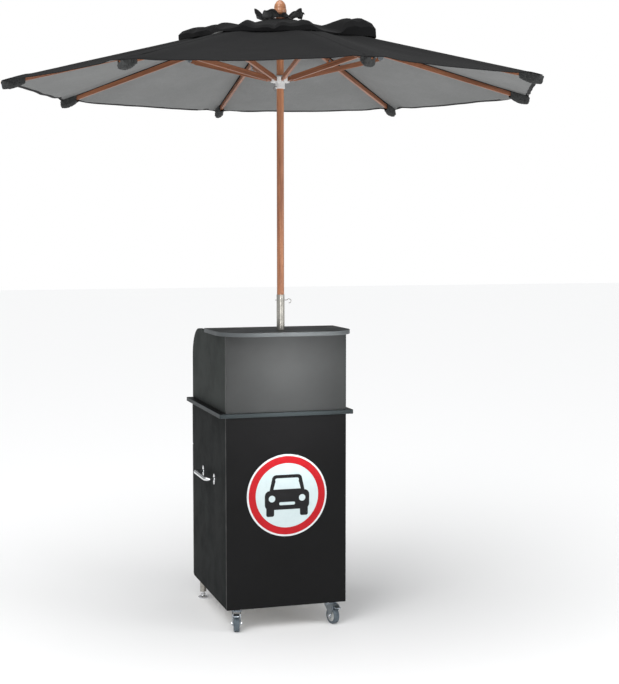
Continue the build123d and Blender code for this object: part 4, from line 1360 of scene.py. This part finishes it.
    def vent_panel(self, shop: Workshop, number: int) -> None:
        """Cuts one panel of the vent tier, whose loose edge stands in big folds."""
        turn, first = self.spokes.turn(number), self.vent_opening
        down, columns = self.vent_grid
        rows = []
        for i in range(down + 1):
            share = i / down
            loose, drop = ease((share - 0.40) / 0.42), ease((share - 0.84) / 0.16)
            row = []
            for n in range(columns + 1):
                across = 2 * n / columns - 1
                reach = first + min(share / 0.9, 1) * (self.vent_radius - first)
                along, beside = self.plan(reach, across)
                angle = math.tau * number / self.spokes.count + math.atan2(beside, along)
                stand_up = 0.5 + 0.5 * math.sin(math.pi / 2 * self.flutter(angle, 0.0))
                wave = (4 * angle + 1.1 + 1.1 * self.flutter(angle, 3.0)) / math.pi
                flap = min(1.0, 1.8 * zigzag(wave))
                flap += 0.22 * zigzag((9 * angle + 1.3 * self.flutter(angle, 9.0)) / math.pi)
                rise = 9 * MM + loose * self.flap * stand_up * flap
                out = 1 + (loose * 0.03 + drop * 0.02) * self.flutter(angle, 5.0)
                height = self.rib_top(reach) + rise + drop * (5 * MM - 0.93 * rise)
                row.append(turn @ Vector((along * out, beside * out, height)))
            rows.append(row)
        shape = Shape()
        shape.cloth(rows, self.cloth, (0, 1, 2))
        made = shop.piece(f"vent_panel_{number + 1}", shape, f"rib_{number + 1}", "black_cloth",
                          CANVAS, crease=24)
        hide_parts("canopy_vent")
        self.fold(made, number, self.vent_keep)
        self.gore(first, self.vent_radius)

    def crown(self, shop: Workshop) -> None:
        """Gathers the small crumpled frill under the finial."""
        rows, (inner, outer), (down, around) = [], self.frill, self.frill_grid
        for i in range(down + 1):
            share = i / down
            row = []
            for n in range(around):
                x, y = math.cos(math.tau * n / around), math.sin(math.tau * n / around)
                crumple = noise.noise(Vector((x * 2.1, y * 2.1, share * 0.9)))
                fine = noise.noise(Vector((x * 3.6, y * 3.6, 2 + share)))
                reach = inner + share * (outer - inner) * (1 + 0.16 * crumple * share)
                rise = 11 * MM + ease((share - 0.2) / 0.8) * 26 * MM * (1 + crumple + fine)
                row.append(Vector((reach * x, reach * y, self.rib_top(reach) + rise)))
            rows.append(row + row[:1])
        shape = Shape()
        shape.cloth(rows, self.cloth, (0, 1, 2))
        made = shop.piece("canopy_crown", shape, "mast", "black_cloth",
                          CANVAS, crease=60)
        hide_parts("canopy_vent")

    def make(self, shop: Workshop) -> None:
        """Sews the whole canopy."""
        for number in range(self.spokes.count):
            self.panel(shop, number)
            self.vent_panel(shop, number)
        self.crown(shop)


# ------------------------------------------------------------------ studio
@dataclass(frozen=True)
class Lamp:
    """A soft square light: where it hangs, what it looks at, its side, watts and beam angle."""

    name: str
    at: tuple[float, float, float]
    target: tuple[float, float, float]
    size: float
    power: float
    spread: float = 180.0


@dataclass
class Studio:
    """A pale floor, soft lights and the camera."""

    eye: tuple[float, float, float] = (-1.386, -4.872, 1.447)
    yaw: float = 17.07
    pitch: float = -4.55
    lens: float = 73.4
    floor_size: float = 60.0
    floor_tone: float = 0.95
    sun_power: float = 2.2
    sun_angle: float = 70.0
    sun_tilt: tuple[float, float] = (18.0, -14.0)
    sky: Color = (0.36, 0.365, 0.37)
    backdrop: Color = (1.0, 1.0, 1.0)
    lamps: tuple[Lamp, ...] = (
        Lamp("key", (-3.4, -3.6, 4.2), (0.0, 0.0, 1.2), 2.6, 80.0),
        Lamp("fill", (3.6, -3.2, 2.0), (0.0, 0.0, 0.9), 2.4, 45.0),
        Lamp("lift", (-0.6, -3.6, 0.5), (0.0, 0.0, 1.9), 1.6, 30.0),
        Lamp("front glow", (0.06, -0.66, 1.02), (0.02, -0.08, 0.90), 0.2, 1.3, 62.0))

    def floor(self) -> None:
        """Lays the pale floor."""
        bpy.ops.mesh.primitive_grid_add(x_subdivisions=8, y_subdivisions=8, size=self.floor_size)
        floor = bpy.context.object
        floor.name = "studio_floor"
        paint = bpy.data.materials.new("studio_floor")
        paint.use_nodes = True
        shader = paint.node_tree.nodes["Principled BSDF"]
        tone = self.floor_tone
        settle(shader, Base_Color=(tone, tone, tone, 1.0), Roughness=0.9, Specular_IOR_Level=0.1)
        floor.data.materials.append(paint)

    @staticmethod
    def hang(lamp: Lamp) -> None:
        """Hangs one soft light; a small one leaves no highlight of its own."""
        data = bpy.data.lights.new(lamp.name, "AREA")
        data.size, data.energy, data.spread = lamp.size, lamp.power, math.radians(lamp.spread)
        hung = bpy.data.objects.new(lamp.name, data)
        hung.location = lamp.at
        away = Vector(lamp.at) - Vector(lamp.target)
        hung.rotation_euler = away.to_track_quat("Z", "Y").to_euler()
        hung.visible_camera = False
        hung.visible_glossy = lamp.size > 1
        bpy.context.scene.collection.objects.link(hung)

    def sun(self) -> None:
        """Lights the floor evenly from above with a very soft sun."""
        data = bpy.data.lights.new("sun", "SUN")
        data.energy, data.angle = self.sun_power, math.radians(self.sun_angle)
        sun = bpy.data.objects.new("sun", data)
        sun.rotation_euler = (*(math.radians(a) for a in self.sun_tilt), 0.0)
        bpy.context.scene.collection.objects.link(sun)

    def world(self) -> None:
        """Shows a white background and lights softly with grey."""
        world = bpy.data.worlds.new("studio")
        world.use_nodes = True
        bpy.context.scene.world = world
        wiring = Wiring(world.node_tree)
        seen = wiring.add("LightPath").outputs["Is Camera Ray"]
        color = wiring.blend(seen, self.sky, self.backdrop)
        glow = wiring.add("Background", {0: color, 1: 1.0})
        output = wiring.add("OutputWorld")
        wiring.link(glow.outputs[0], output.inputs[0])

    def camera(self) -> None:
        """Places the camera at a standing person's eye height, left of the front."""
        data = bpy.data.cameras.new("camera")
        data.lens, data.sensor_width = self.lens, 36.0
        camera = bpy.data.objects.new("camera", data)
        camera.location = self.eye
        camera.rotation_euler = Euler((math.radians(90 + self.pitch), 0.0, math.radians(-self.yaw)))
        bpy.context.scene.collection.objects.link(camera)
        bpy.context.scene.camera = camera

    def make(self) -> None:
        """Sets everything round the podium."""
        bpy.context.scene.view_settings.view_transform = "Standard"
        self.floor()
        self.sun()
        for lamp in self.lamps:
            self.hang(lamp)
        self.world()
        self.camera()


def main() -> None:
    """Builds every sub-assembly in order."""
    logging.basicConfig(level=logging.INFO, format="%(name)s: %(message)s")
    shop = Workshop()
    Cabinet().make(shop)
    Castors().make(shop)
    Drawer().make(shop)
    Door().make(shop)
    Mast().make(shop)
    spokes = Spokes()
    spokes.make(shop)
    Canopy(spokes).make(shop)
    Studio().make()
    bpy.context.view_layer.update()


if __name__ == "__main__":
    main()
